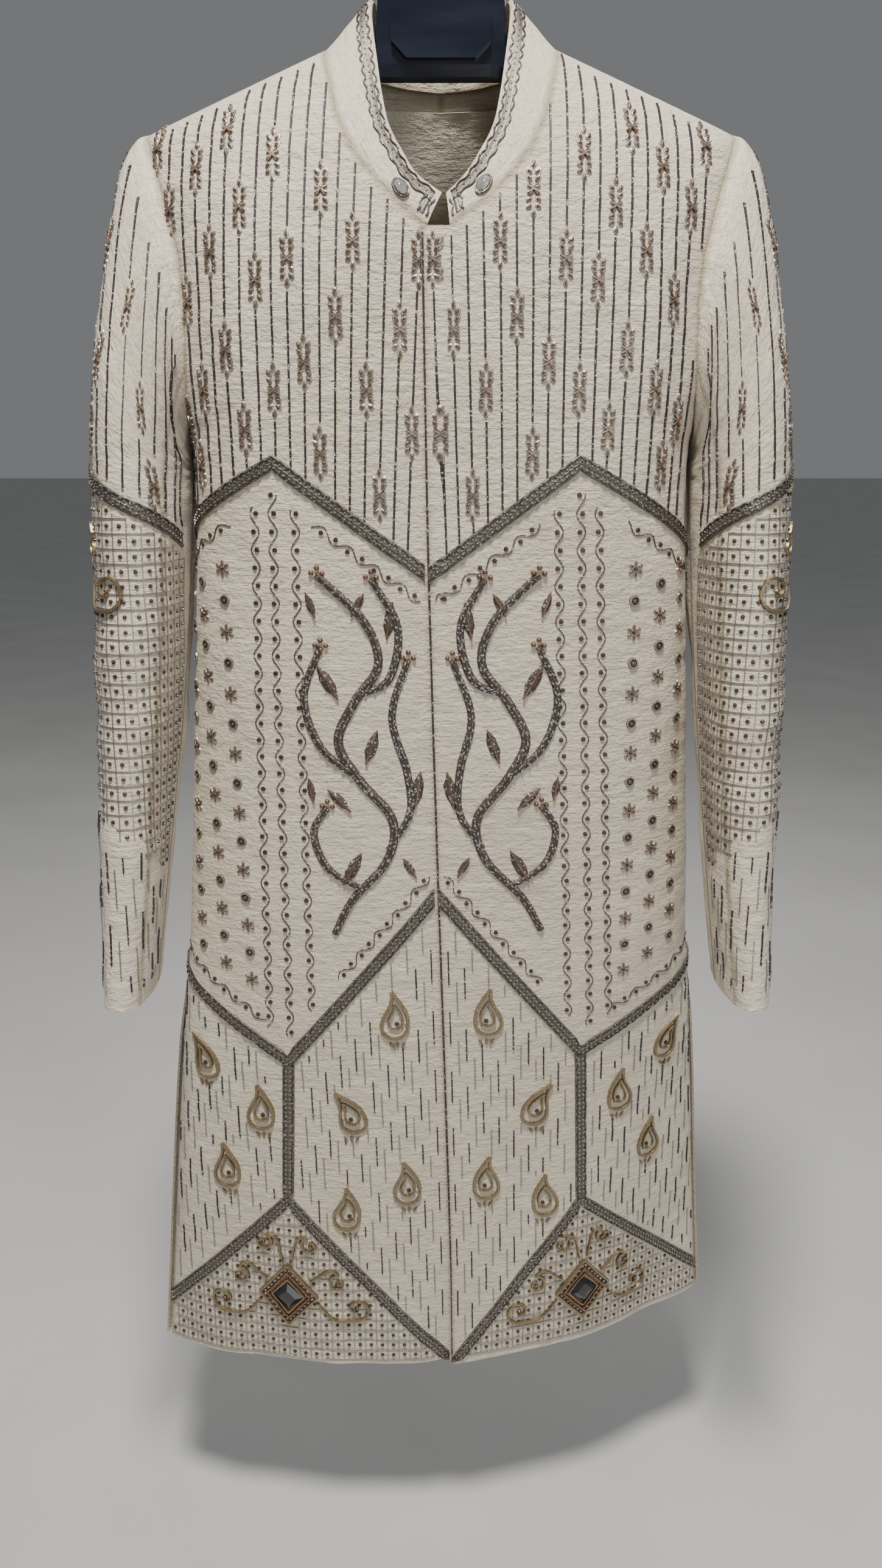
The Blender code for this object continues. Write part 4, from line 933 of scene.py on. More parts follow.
# The dark cord that paints the lap edge's shadow lies this far in from the edge.
LAP_SHADOW_CORD_IN = 0.0010
SPRIG_HALF = 0.0195
LATTICE_CELL = (0.0102, 0.0110)
HEM_LATTICE_ARCS, HEM_LATTICE_ROWS = (0.008, 0.292), 16
SLEEVE_LATTICE_ARCS, SLEEVE_LATTICE_Z, SLEEVE_LATTICE_ROWS = (-0.1530, 0.115), -0.760, 32
DASH_LENGTH = 0.031
DASH_PERIOD = 0.0565
DASH_PITCH = 0.0135
DASH_WIDTH = 0.0014
DASH_STAGGER = 0.016
DASH_COLUMNS = 40
BEAD_THREAD, BEAD_SWELL = 0.0012, 0.0005
FRAME_HALF = (0.0268, 0.0317)
SLEEVE_FRAME_HALF = (0.0190, 0.0220)
STONE_BASE = 0.0030
NET_WIDTH = 0.0010
SLEEVE_BAND_ARCS = (-0.148, 0.110)

# Room left free beside bands, seams and paisleys.
BAND_GAP = 0.0095
DASH_GAP = 0.013
SEAM_GAP = 0.006
PAISLEY_ROOM = 0.0205
HEM_STONE_HALF, SLEEVE_STONE_HALF = 0.0135, 0.0100
HEM_CURLS, SLEEVE_CURLS = 1.15, 1.9

# Three wavy lines beside the vine, by how far out from the lap edge they lie at two heights.
WAVE_TOP_Z, WAVE_LOW_Z = -0.452, -0.81
WAVE_LINES = ((0.098, 0.108), (0.115, 0.127), (0.129, 0.144))
WAVE_STEP, WAVE_SWING = 0.0022, 0.0034

# Columns of flowers and spangles, by their way out and their top.
MOTIF_COLUMNS = ((0.160, -0.502), (0.183, -0.514), (0.206, -0.502))
MOTIF_STEP, MOTIF_COUNT = 0.0245, 17

# The lower edge of the sleeve's lattice: steps that climb from the front to the back.
STAIR_START, STAIR_WIDTH, STAIR_RISE, STAIR_FOOT, STAIR_LAST = -0.150, 0.0204, 0.0145, -0.752, 7
SLEEVE_BACK_SHARE = 0.66
CUFF_LINE_Z = -0.824

# Raised bands on the wearer's left (1) and right (-1) front, as (a, z) on the flat cloth.
YOKE_BAND = {1: [(-0.016, -0.5104), (0.1024, -0.4236), (0.245, -0.5026)],
             -1: [(0.000, -0.5132), (-0.1250, -0.4236), (-0.245, -0.4894)]}
HIP_BAND = {1: [(-0.010, -0.7627), (0.1172, -0.9204), (0.260, -0.8446)],
            -1: [(0.000, -0.7588), (-0.1379, -0.9199), (-0.260, -0.8356)]}
DROP_BAND = {1: [(0.1175, -0.9300), (0.1225, -1.0670)],
             -1: [(-0.1383, -0.9300), (-0.1450, -1.0500)]}
HEM_BAND = {1: [(0.000, -1.2390), (0.1227, -1.0778), (0.290, -1.2238)],
            -1: [(0.000, -1.2362), (-0.1454, -1.0607), (-0.290, -1.2094)]}
SLEEVE_BAND = [(-0.200, -0.508), (0.000, -0.407), (0.200, -0.508)]
HEM_STONE = {1: (0.1267, -1.1755), -1: (-0.1487, -1.1582)}
SLEEVE_STONE = (0.0, -0.500)

# The couched lines of the yoke: how far the first one lies out from the lap edge at two heights.
LINE_TOP_Z, LINE_LOW_Z = -0.271, -0.403
FIRST_LINE = {1: (0.0087, 0.0117), -1: (0.0012, 0.0093)}
LINE_PITCH = (0.01164, 0.01116)
LINE_COUNT = 18
LINE_STEP = 0.004
YOKE_LINE_Z, SLEEVE_LINE_Z = (-0.135, -0.52), (-0.195, -0.52)

# The sprigs on each line of the yoke, then of the sleeve, by their middle's height.
SPRIGS = {0: (-0.286, -0.403), 1: (-0.332,), 2: (-0.447,), 3: (-0.373,), 4: (-0.274,), 5: (-0.3235,),
          6: (-0.240, -0.417), 7: (-0.354,), 8: (-0.285,), 9: (-0.216, -0.373), 10: (-0.299,),
          11: (-0.250, -0.400), 12: (-0.196, -0.345), 13: (-0.279,), 14: (-0.222, -0.372),
          15: (-0.311, -0.426), 16: (-0.248, -0.394), 17: (-0.204, -0.327)}
ELBOW_Z = -0.470
SLEEVE_LINES = range(-13, 10)
SLEEVE_LINE_PITCH = 0.0118
SLEEVE_SPRIGS = {-10: (-0.440,), -9: (-0.385,), -8: (-0.315,), -7: (-0.425,), -6: (-0.270, -0.350),
                 -5: (-0.400,), -4: (-0.310,), -3: (-0.258, -0.380), -2: (-0.320,), -1: (-0.270, -0.372),
                 0: (-0.330,), 1: (-0.250,), 2: (-0.350,), 4: (-0.290,), 5: (-0.390,), 7: (-0.340,)}

# The generic vine on each front, as (out from the lap edge, z). A stem has a width and a height.
MAIN_STEM = (0.0078, 0.0026)
SIDE_STEM = (0.0066, 0.0021)
STEM_PROFILE = ((-1, 0), (-0.85, 0.62), (-0.35, 1), (0.35, 1), (0.85, 0.62), (1, 0))
VINE_STEMS = [
    [(0.086, -0.800), (0.070, -0.770), (0.040, -0.735), (0.034, -0.700), (0.058, -0.668),
     (0.074, -0.636), (0.060, -0.604), (0.040, -0.574), (0.050, -0.540), (0.084, -0.505)],
    [(0.038, -0.725), (0.020, -0.695), (0.021, -0.660), (0.031, -0.615), (0.017, -0.570)],
    [(0.060, -0.666), (0.088, -0.640), (0.099, -0.600), (0.084, -0.560)],
    [(0.055, -0.598), (0.032, -0.585), (0.024, -0.545), (0.043, -0.508)],
    [(0.060, -0.760), (0.088, -0.742), (0.098, -0.712), (0.086, -0.690)],
]

# The vine's leaves, as (out from the lap edge, z, angle, length).
LEAF_WIDTH_SHARE = 0.0125 / 0.034
VINE_LEAVES = [(0.068, -0.742, 120, 0.034), (0.013, -0.676, 100, 0.034), (0.048, -0.640, 110, 0.032),
               (0.080, -0.588, 60, 0.034), (0.030, -0.540, 100, 0.032), (0.076, -0.684, 45, 0.028),
               (0.098, -0.676, 80, 0.022), (0.022, -0.742, 60, 0.022), (0.090, -0.528, 70, 0.022),
               (0.054, -0.528, 120, 0.022)]

# The paisleys below the hip band, as (out from the lap edge, z, lean).
PAISLEY_SIZE = 0.021
PAISLEYS = [(0.038, -0.875, 12), (0.082, -0.968, -14), (0.034, -1.040, 10), (0.088, -1.066, 16),
            (0.160, -0.968, 12), (0.212, -0.925, -12), (0.196, -1.030, 10)]


def new_batch():
    return {"points": [], "faces": [], "count": 0}


def put(batch, points, faces):
    batch["points"].append(points)
    batch["faces"].extend(np.asarray(face) + batch["count"] for face in faces)
    batch["count"] += len(points)


def beside(steps):
    """Unit steps turned a quarter turn."""
    return stacked(-steps[:, 1], steps[:, 0])


def tube(batch, place, flat, tall):
    """A closed tube from rows of flat places and their heights."""
    rows, columns = flat.shape[:2]
    tall = np.broadcast_to(tall, (rows, columns))[..., None]
    index = np.arange(rows * columns).reshape(rows, columns)
    after = np.roll(index, -1, axis=1)
    quads = stacked(index[:-1], after[:-1], after[1:], index[1:]).reshape(-1, 4)
    ends = np.stack([index[0][::-1], index[-1]])
    put(batch, place(np.concatenate([flat, tall], axis=-1).reshape(-1, 3)), [quads, ends])


def pyramid(batch, place, ring, levels, middle, base=0.0):
    """A ring of flat places raised through (scale, height) levels to a point."""
    n, last = len(ring), len(levels) - 2
    spots = [np.concatenate([ring * scale + middle, np.full((n, 1), base + height)], axis=1)
             for scale, height in levels[:-1]]
    spots.append(np.array([[*middle, base + levels[-1][1]]]))
    low = np.arange(n)
    after = (low + 1) % n
    walls = [stacked(low, after, after + n, low + n) + n * level for level in range(last)]
    tips = stacked(low + last * n, after + last * n, np.full(n, (last + 1) * n))
    put(batch, place(np.concatenate(spots)), [np.concatenate(walls), tips, low[::-1][None]])


def cord(batch, place, path, width, height, base=0.0, profile=((-1, 0), (-0.62, 1), (0.62, 1), (1, 0))):
    """A closed rounded cord along a flat path, standing up from base."""
    path = np.asarray(path, float)
    width, height = np.broadcast_to(width, len(path)), np.broadcast_to(height, len(path))
    side = beside(unit(np.gradient(path, axis=0)))
    across, lift = np.array(profile, float).T
    flat = path[:, None] + side[:, None] * (width[:, None] / 2 * across[None])[..., None]
    tube(batch, place, flat, base + np.where(lift > 0, height[:, None] * lift[None], -SUNK))


def mounds(batch, place, middles, size, height, angle=0.0, power=2.0, sides=6, base=0.0):
    """Closed domes about flat middles: beads where power is 2, pointed leaves where it is lower."""
    middles = np.asarray(middles, float).reshape(-1, 2)
    count = len(middles)
    if not count:
        return
    turns = np.linspace(0, 2 * np.pi, sides, endpoint=False)
    outline = turned(turns)
    if power < 2:
        outline[:, 1] *= (1 - np.abs(outline[:, 0])) ** (2 - power)
    half = np.broadcast_to(np.asarray(size, float) / 2, (count, 2))
    angle = np.radians(np.broadcast_to(angle, count))
    c, s = np.cos(angle)[:, None], np.sin(angle)[:, None]
    rings = []
    for scale, lift in ((1.0, None), (0.80, 0.72), (0.0, 1.0)):
        x, y = half[:, :1] * outline[None, :, 0] * scale, half[:, 1:] * outline[None, :, 1] * scale
        spot = stacked(middles[:, :1] + x * c - y * s, middles[:, 1:] + x * s + y * c,
                       np.full(x.shape, base - SUNK if lift is None else base + height * lift))
        rings.append(spot if scale else spot[:, :1])
    n = sides
    points = place(np.concatenate(rings, axis=1).reshape(-1, 3))
    start = (np.arange(count) * (2 * n + 1))[:, None, None]
    low = np.arange(n)
    after = (low + 1) % n
    quads = stacked(low, after, after + n, low + n)[None] + start
    tips = stacked(low + n, after + n, np.full(n, 2 * n))[None] + start
    floor = low[::-1][None, None] + start
    put(batch, points, [quads.reshape(-1, 4), tips.reshape(-1, 3), floor.reshape(-1, n)])


def finish_batch(name, batch, look, nodes=()):
    points = np.concatenate(batch["points"])
    faces = [face for group in batch["faces"] for face in group.tolist()]
    obj = make_mesh(name, points, faces, look)
    return declare(obj, nodes)


def runs(keep):
    """The start and end of each run of True."""
    edges = np.flatnonzero(np.diff(np.concatenate([[False], keep, [False]]).astype(int)))
    return edges.reshape(-1, 2)


def draw_runs(batch, place, path, keep, width, height, least=3):
    """A cord along each run of the path's kept points."""
    for start, end in runs(keep):
        if end - start >= least:
            cord(batch, place, path[start:end], width, height)


def band_z(band, sign, a):
    """The height of a zigzag band's middle at a."""
    path = np.array(band[sign] if isinstance(band, dict) else band)
    path = path[np.argsort(path[:, 0])]
    return np.interp(a, path[:, 0], path[:, 1])


def front_edges(panel):
    """Functions for the highest z and the furthest |a| of a front's cloth."""
    flat = panel["flat"]
    end = SKIRT_ROWS + CENTRE_ROWS["front"] + LEDGE_ROWS
    neck = np.concatenate([flat[end:, 0], flat[-1, 1:]])
    hole = flat[SKIRT_ROWS:, -1]

    def top(a):
        return np.interp(np.abs(a), np.abs(neck[:, 0]), neck[:, 1])

    def far(z):
        below = side_length("front", z)
        above = np.interp(z, hole[:, 1], np.abs(hole[:, 0]))
        return np.where(z < UNDERARM_Z, below, above)
    return top, far


def out_from_lap(sign, d, z):
    return lap_a(z) + sign * np.asarray(d, float)


def strip(batch, place, line, reach, profile):
    """A closed ribbon with a raised profile, whose sides reach out from its middle line."""
    across, lift = np.array(profile, float).T
    flat = line[:, None] + reach[:, None] * across[None, :, None]
    flat[..., 1] = np.maximum(flat[..., 1], HEM_Z + 0.0004)
    tube(batch, place, flat, lift)


BAND_PROFILE = [(-1, -SUNK), (-0.97, 0.0010), (-0.80, 0.0015), (-0.40, 0.0012), (-0.16, 0.0013),
                (0, 0.0018), (0.16, 0.0013), (0.40, 0.0012), (0.80, 0.0015), (0.97, 0.0010), (1, -SUNK)]


def wavy(line, reach, offset, swing, wave):
    """A path that swings about an offset from a middle line."""
    path = line + reach * (offset + swing * np.sin(2 * np.pi * run_along(line) / wave))[:, None]
    return path[path[:, 1] > HEM_Z + 0.0015]


def dress_band(works, place, line, upright=False):
    """A dull zari band with wavy cords along its sides and rows of small brown and silver beads."""
    line = np.asarray(line, float)
    if upright:
        reach = stacked(np.full(len(line), BAND_WIDTH / 2), np.zeros(len(line)))
    else:
        slope = np.gradient(line[:, 1]) / np.gradient(line[:, 0])
        size = BAND_WIDTH / 2 * np.sqrt(1 + np.minimum(slope ** 2, 4))
        reach = stacked(0 * size, size)
    strip(works["zari"], place, line, reach, BAND_PROFILE)
    steps = 6
    knots = np.linspace(0, len(line) - 1, (len(line) - 1) * steps + 1)
    fine = points_at(knots, np.arange(len(line)), line)
    wide = points_at(knots, np.arange(len(line)), reach)
    for offset in (-0.68, 0.68):
        cord(works["cord"], place, wavy(fine, wide, offset, 0.13, 0.0085), 0.0011, 0.0008, 0.0013)
    run = run_along(fine)
    for offset, start in ((0.0, 0.0), (-0.38, 0.5), (0.38, 0.5)):
        at = np.arange(0.003 + BAND_BEAD_STEP * start, run[-1] - 0.002, BAND_BEAD_STEP)
        middle = points_at(at, run, fine + offset * wide)
        middle = middle[middle[:, 1] > HEM_Z + 0.003]
        look, size = ("brown", 0.0016) if offset == 0 else ("silver", 0.0021)
        mounds(works[look], place, middle, (size, size), 0.0010, sides=5, base=0.0014)


def sprig(works, place, a, z):
    """A generic wheat sprig of ringed leaf loops with crossed bugle beads in its middle."""
    leaves = [(0.0, 0.0163, 90, 0.0068, 0.0040), (0.0, -0.0163, 90, 0.0068, 0.0040)]
    for up in (0.0116, 0.0070, -0.0070, -0.0116):
        for turn in (-1, 1):
            lean = 42 * turn * (-1 if up > 0 else 1)
            leaves.append((turn * 0.0031, up, 90 + lean, 0.0058, 0.0042))
    table = np.array(leaves)
    middles = table[:, :2] + (a, z)
    mounds(works["silver"], place, middles, table[:, 3:] + 0.0010, 0.0010, table[:, 2], 1.7, 7)
    mounds(works["copper"], place, middles, table[:, 3:] * 0.70, 0.0019, table[:, 2], 1.7, 6)
    for across, up in ((0.0044, 0.0026), (0.0030, 0.0040)):
        for turn in (-1, 1):
            path = [(a - turn * across, z - up), (a, z), (a + turn * across, z + up)]
            cord(works["silver" if up < 0.003 else "copper"], place, path, 0.0015, 0.0019)


def sprigged_line(works, place, path, keep, middles, fits):
    """A couched line that stops for each sprig that fits on it."""
    a, z = path.T
    for middle in middles:
        spot = np.interp(-middle, -z, a)
        if fits(spot, middle):
            keep &= np.abs(z - middle) > SPRIG_HALF - 0.001
            sprig(works, place, spot, middle)
    draw_runs(works["cord"], place, path, keep, LINE_WIDTH, 0.0010)


def yoke_lines(works, place, sign, panel):
    top, far = front_edges(panel)
    z = np.arange(*YOKE_LINE_Z, -LINE_STEP)
    share = (z - LINE_TOP_Z) / (LINE_LOW_Z - LINE_TOP_Z)
    first = FIRST_LINE[sign][0] + share * (FIRST_LINE[sign][1] - FIRST_LINE[sign][0])
    pitch = LINE_PITCH[0] + share * (LINE_PITCH[1] - LINE_PITCH[0])

    def fits(spot, middle):
        inside = middle < top(spot) - 0.012 and abs(spot) < far(middle) - 0.004
        return inside and middle >= band_z(YOKE_BAND, sign, spot) + 0.018

    for k in range(LINE_COUNT):
        a = out_from_lap(sign, np.maximum(first + k * pitch, 0.0020), z)
        slope_room = 0.006 + 0.005 * (np.abs(a) > 0.09)
        keep = (z < top(a) - slope_room) & (np.abs(a) < far(z) - 0.005)
        keep &= z > band_z(YOKE_BAND, sign, a) + 0.0050
        sprigged_line(works, place, stacked(a, z), keep, SPRIGS.get(k, ()), fits)


def front_bands(works, place, sign, panel):
    _, far = front_edges(panel)
    for band in (YOKE_BAND, HIP_BAND, HEM_BAND):
        low, turn, end = band[sign]
        start = lap_a(low[1]) + BAND_START[sign]
        reach = far(np.array(end[1])) - 0.0015
        near = np.linspace(start, turn[0], 34)
        outer = np.linspace(turn[0], sign * reach, 34)[1:]
        a = np.concatenate([near, outer])
        dress_band(works, place, stacked(a, band_z(band, sign, a)))
    # Painted shadow: a dark cord along the wearer's left lap edge stands in for the shadow that the lap casts
    # there.
    if sign > 0:
        z = np.arange(NECK_Z - 0.004, HEM_Z + 0.003, -0.006)
        cord(works["cord"], place, stacked(lap_a(z) + LAP_SHADOW_CORD_IN, z), 0.0018, 0.0012)
    ends = np.array(DROP_BAND[sign])
    share = np.linspace(-0.05, 1.04, 30)[:, None]
    dress_band(works, place, ends[0] * (1 - share) + ends[1] * share, upright=True)


def wave_line(works, place, path, keep, swing, wave, dot):
    """A thin wavy line with a dot in the hollow of each half wave."""
    run = run_along(path)
    side = beside(unit(np.gradient(path, axis=0)))
    swung = path + side * (swing * np.sin(2 * np.pi * run / wave))[:, None]
    draw_runs(works["taupe"], place, swung, keep, 0.0010, 0.0008)
    at = np.arange(wave / 4, run[-1], wave / 2)
    near = np.round(np.interp(at, run, np.arange(len(run)))).astype(int)
    middle = points_at(at, run, path)
    aside = side[near] * (-0.30 * swing * np.sign(np.sin(2 * np.pi * at / wave)))[:, None]
    mounds(works["brown"], place, (middle + aside)[keep[near]], (dot, dot), 0.0014)


def middle_panel(works, place, sign, panel):
    _, far = front_edges(panel)
    z = np.arange(-0.440, -0.915, -WAVE_STEP)
    share = (z - WAVE_TOP_Z) / (WAVE_LOW_Z - WAVE_TOP_Z)
    for inner, outer in WAVE_LINES:
        a = out_from_lap(sign, inner + share * (outer - inner), z)
        keep = (z < band_z(YOKE_BAND, sign, a) - 0.022) & (z > band_z(HIP_BAND, sign, a) + 0.020)
        wave_line(works, place, stacked(a, z), keep, WAVE_SWING, 0.027, 0.0044)
    for band, lift in ((YOKE_BAND, -0.024), (HIP_BAND, 0.024)):
        d = np.arange(0.006, 0.250, WAVE_STEP)
        z_row = band_z(band, sign, out_from_lap(sign, d, -0.65)) + lift
        a = out_from_lap(sign, d, z_row)
        z_row = band_z(band, sign, a) + lift
        vines = (d > 0.086) & (d < 0.150)
        keep = ~vines & (np.abs(a) < far(z_row) - 0.006)
        wave_line(works, place, stacked(a, z_row), keep, WAVE_SWING, 0.024, 0.0042)
    for column, (d, start) in enumerate(MOTIF_COLUMNS):
        for step in range(MOTIF_COUNT):
            level = start - MOTIF_STEP * step
            a = out_from_lap(sign, d, level)
            if level < band_z(HIP_BAND, sign, a) + 0.036 or abs(a) > far(level) - 0.010:
                continue
            draw = ringed_spangle if (step + column) % 2 else flower
            draw(works, place, a, level)


def flower(works, place, a, z):
    """Six ringed petals about a bead."""
    turns = np.linspace(0, 360, 6, endpoint=False) + 30
    spread = turned(np.radians(turns), 0.0042)
    mounds(works["silver"], place, spread + (a, z), (0.0058, 0.0042), 0.0010, turns, 1.7, 6)
    mounds(works["copper"], place, spread + (a, z), (0.0042, 0.0027), 0.0017, turns, 1.7, 6)
    mounds(works["brown"], place, [(a, z)], (0.0032, 0.0032), 0.0024)


def circle(a, z, radius, steps=14):
    return turned(np.linspace(0, 2 * np.pi, steps), radius) + (a, z)


def ringed_spangle(works, place, a, z):
    mounds(works["brown"], place, [(a, z)], (0.0100, 0.0100), 0.0007, sides=12)
    cord(works["silver"], place, circle(a, z, 0.0036), 0.0016, 0.0013)
    cord(works["copper"], place, circle(a, z, 0.0014), 0.0012, 0.0014)
    mounds(works["silver"], place, [(a, z)], (0.0018, 0.0018), 0.0018, sides=5)


def vine(works, place, sign):
    for stem, (width, height) in zip(VINE_STEMS, [MAIN_STEM] + [SIDE_STEM] * (len(VINE_STEMS) - 1)):
        rounded = smooth_path(stem, 9)
        path = stacked(out_from_lap(sign, rounded[:, 0], rounded[:, 1]), rounded[:, 1])
        share = np.sin(np.pi * np.linspace(0.1, 0.9, len(path)))
        cord(works["taupe"], place, path, width * (0.65 + 0.35 * share), height, profile=STEM_PROFILE)
        run = run_along(path)
        at = np.arange(0.005, run[-1] - 0.004, 0.0078)
        middle = points_at(at, run, path)
        steps = unit(points_at(at, run, np.gradient(path, axis=0)))
        angle = np.degrees(np.arctan2(steps[:, 1], steps[:, 0]))
        across = beside(steps)
        for shift in (-0.0015, 0.0015):
            pair = middle + shift * (across + 0.5 * steps)
            mounds(works["silver"], place, pair, (0.0034, 0.0016), 0.0008, angle + 24, base=0.0019)
        cord(works["cord"], place, path, 0.0009, 0.0009, height - 0.0005)
        spread = np.array([(0.0002, -0.0022), (0.0043, 0.0008), (-0.0040, 0.0014), (0.0003, 0.0052)])
        mounds(works["copper"], place, path[-1] + spread, (0.0044, 0.0044), 0.0030)
    for d, z, angle, length in VINE_LEAVES:
        a = out_from_lap(sign, d, z)
        turn = angle if sign > 0 else 180 - angle
        mounds(works["taupe"], place, [(a, z)], (length, LEAF_WIDTH_SHARE * length), 0.0018, turn, 1.4, 10)
        reach = turned(np.radians(turn), 0.46 * length)
        ridge = np.array([(a, z) - reach, (a, z), (a, z) + reach])
        cord(works["copper"], place, ridge, (0.0016, 0.0022, 0.0010), 0.0007, 0.0015)


def draw_dash(works, place, path, keep, beaded, least):
    """A dash of dark cord, or one of small silver beads."""
    if not beaded:
        draw_runs(works["cord"], place, path, keep, DASH_WIDTH, 0.0011)
        return
    width = BEAD_THREAD + BEAD_SWELL * np.cos(np.arange(len(path)) * np.pi)
    for start, end in runs(keep):
        if end - start >= least:
            cord(works["silver"], place, path[start:end], width[start:end], 0.0009)


def dashes(works, place, sign, panel):
    _, far = front_edges(panel)
    middles = [(out_from_lap(sign, d, z), z) for d, z, _ in PAISLEYS]
    for k in range(DASH_COLUMNS):
        d = 0.007 + 0.5 * DASH_PITCH * k
        beaded = k % 2
        for n in range(-1, 10):
            top = -0.760 - DASH_PERIOD * (n + 0.5 * beaded) - DASH_STAGGER * ((k // 2) % 7)
            z = np.arange(top, top - DASH_LENGTH, -0.0011 if beaded else -0.0031)
            a = out_from_lap(sign, d, z)
            keep = (z < band_z(HIP_BAND, sign, a) - DASH_GAP) & (z > band_z(HEM_BAND, sign, a) + DASH_GAP)
            keep &= np.abs(a) < far(z) - 0.006
            drop = np.interp(z, *np.array(DROP_BAND[sign])[::-1].T[::-1])
            keep &= np.abs(a - drop) > BAND_GAP
            for x, level in middles:
                keep &= np.hypot(a - x, (z - level) * 0.85) > PAISLEY_ROOM
            path = stacked(a, z)
            draw_dash(works, place, path, keep, beaded, 6)


def paisley(works, place, sign, a, z, lean):
    """A common paisley: a drop with a bent tip, a smaller one inside, beads and three leaves at its foot."""
    size = PAISLEY_SIZE
    t = np.linspace(0, 2 * np.pi, 30)[1:-1]
    drop = stacked(np.sin(t) * np.sin(t / 2) ** 1.6 * 0.78, np.cos(t))
    bent = drop + stacked(0.42 * np.clip(drop[:, 1], 0, 1) ** 2, 0 * t)
    c, s = np.cos(np.radians(lean)), np.sin(np.radians(lean))
    for scale, width in ((1.0, 0.0033), (0.54, 0.0022)):
        x, y = (bent * size * scale - (0, 0.10 * size * (1 - scale))).T
        leant = stacked(x * c - y * s, x * s + y * c)
        cord(works["gold"], place, leant * (sign, 1) + (a, z), width, 0.0023)
    mounds(works["brown"], place, [(a, z - 0.35 * size)], (0.0046, 0.0046), 0.0018)
    foot = [(a + x, z - 1.28 * size) for x in (-0.005, 0, 0.005)]
    mounds(works["gold"], place, foot, (0.0070, 0.0030), 0.0016, (125, 90, 55), 1.5, 8)
    ring = turned(np.radians(np.linspace(200, 340, 5)), 0.341 * size)
    mounds(works["silver"], place, ring + (a, z - 0.28 * size), (0.0018, 0.0018), 0.0012, sides=5)


def lattice(works, place, columns, rows, inside):
    """A square net of silver cord with a dark bead and a small copper one in each cell."""
    fine = np.linspace(rows[0], rows[-1], 4 * (len(rows) - 1) + 1)
    for a in columns:
        path = stacked(np.full(len(fine), a), fine)
        draw_runs(works["silver"], place, path, inside(path), NET_WIDTH, 0.0009, least=2)
    fine = np.linspace(columns[0], columns[-1], 4 * (len(columns) - 1) + 1)
    for z in rows:
        path = stacked(fine, np.full(len(fine), z))
        draw_runs(works["silver"], place, path, inside(path), NET_WIDTH, 0.0009, least=2)
    middle_a, middle_z = (columns[1:] + columns[:-1]) / 2, (rows[1:] + rows[:-1]) / 2
    beads = np.stack(np.meshgrid(middle_a, middle_z), axis=-1).reshape(-1, 2)
    beads = beads[inside(beads)]
    mounds(works["brown"], place, beads, (0.0036, 0.0036), 0.0016)
    mounds(works["copper"], place, beads, (0.0015, 0.0015), 0.0006, sides=5, base=0.0014)


def hem_corner(works, place, sign, panel):
    _, far = front_edges(panel)
    stone = np.array(HEM_STONE[sign])

    def inside(path):
        a, z = path[:, 0], path[:, 1]
        d = sign * (a - lap_a(z))
        keep = (z < band_z(HEM_BAND, sign, a) - BAND_GAP) & (z > HEM_Z + 0.0035) & (d > 0.010)
        keep &= np.abs(a) < far(z) - 0.005
        return keep & (np.abs(a - stone[0]) / 0.031 + np.abs(z - stone[1]) / 0.036 > 1)

    corner = [(out_from_lap(sign, 0.0045, HEM_Z), HEM_Z + 0.0045)]
    mounds(works["brown"], place, corner, (0.0050, 0.0050), 0.0034, sides=10, base=0.0012)
    columns = np.arange(*HEM_LATTICE_ARCS, LATTICE_CELL[0]) * sign
    rows = HEM_Z + 0.005 + np.arange(HEM_LATTICE_ROWS) * LATTICE_CELL[1]
    lattice(works, place, np.sort(columns), rows, inside)
    stone_scrolls(works, place, stone, FRAME_HALF, HEM_CURLS)


# The ribs of a stone's frame: their scale, look, width, height and base.
FRAME_RIBS = ((1.0, "gold", 0.0030, 0.0022, 0.0026), (0.74, "copper", 0.0026, 0.0020, 0.0030),
              (0.56, "gold", 0.0020, 0.0022, 0.0030))

# The curls beside a stone: root, bend, the curl's middle and radius, and where it starts in half turns.
STONE_SCROLLS = [((0.026, -0.008), (0.036, -0.022), (0.054, -0.012), 0.0115, -0.5),
                 ((0.020, 0.014), (0.033, 0.024), (0.040, 0.012), 0.0080, 0.5),
                 ((0.004, 0.034), (0.008, 0.050), (0.019, 0.046), 0.0080, 0.6)]


def spiral(a, z, radius, start, turns):
    share = np.linspace(0, 1, 26)
    angle = start + turns * 2 * np.pi * share
    return turned(angle, (radius * (1 - 0.78 * share))[:, None]) + (a, z)


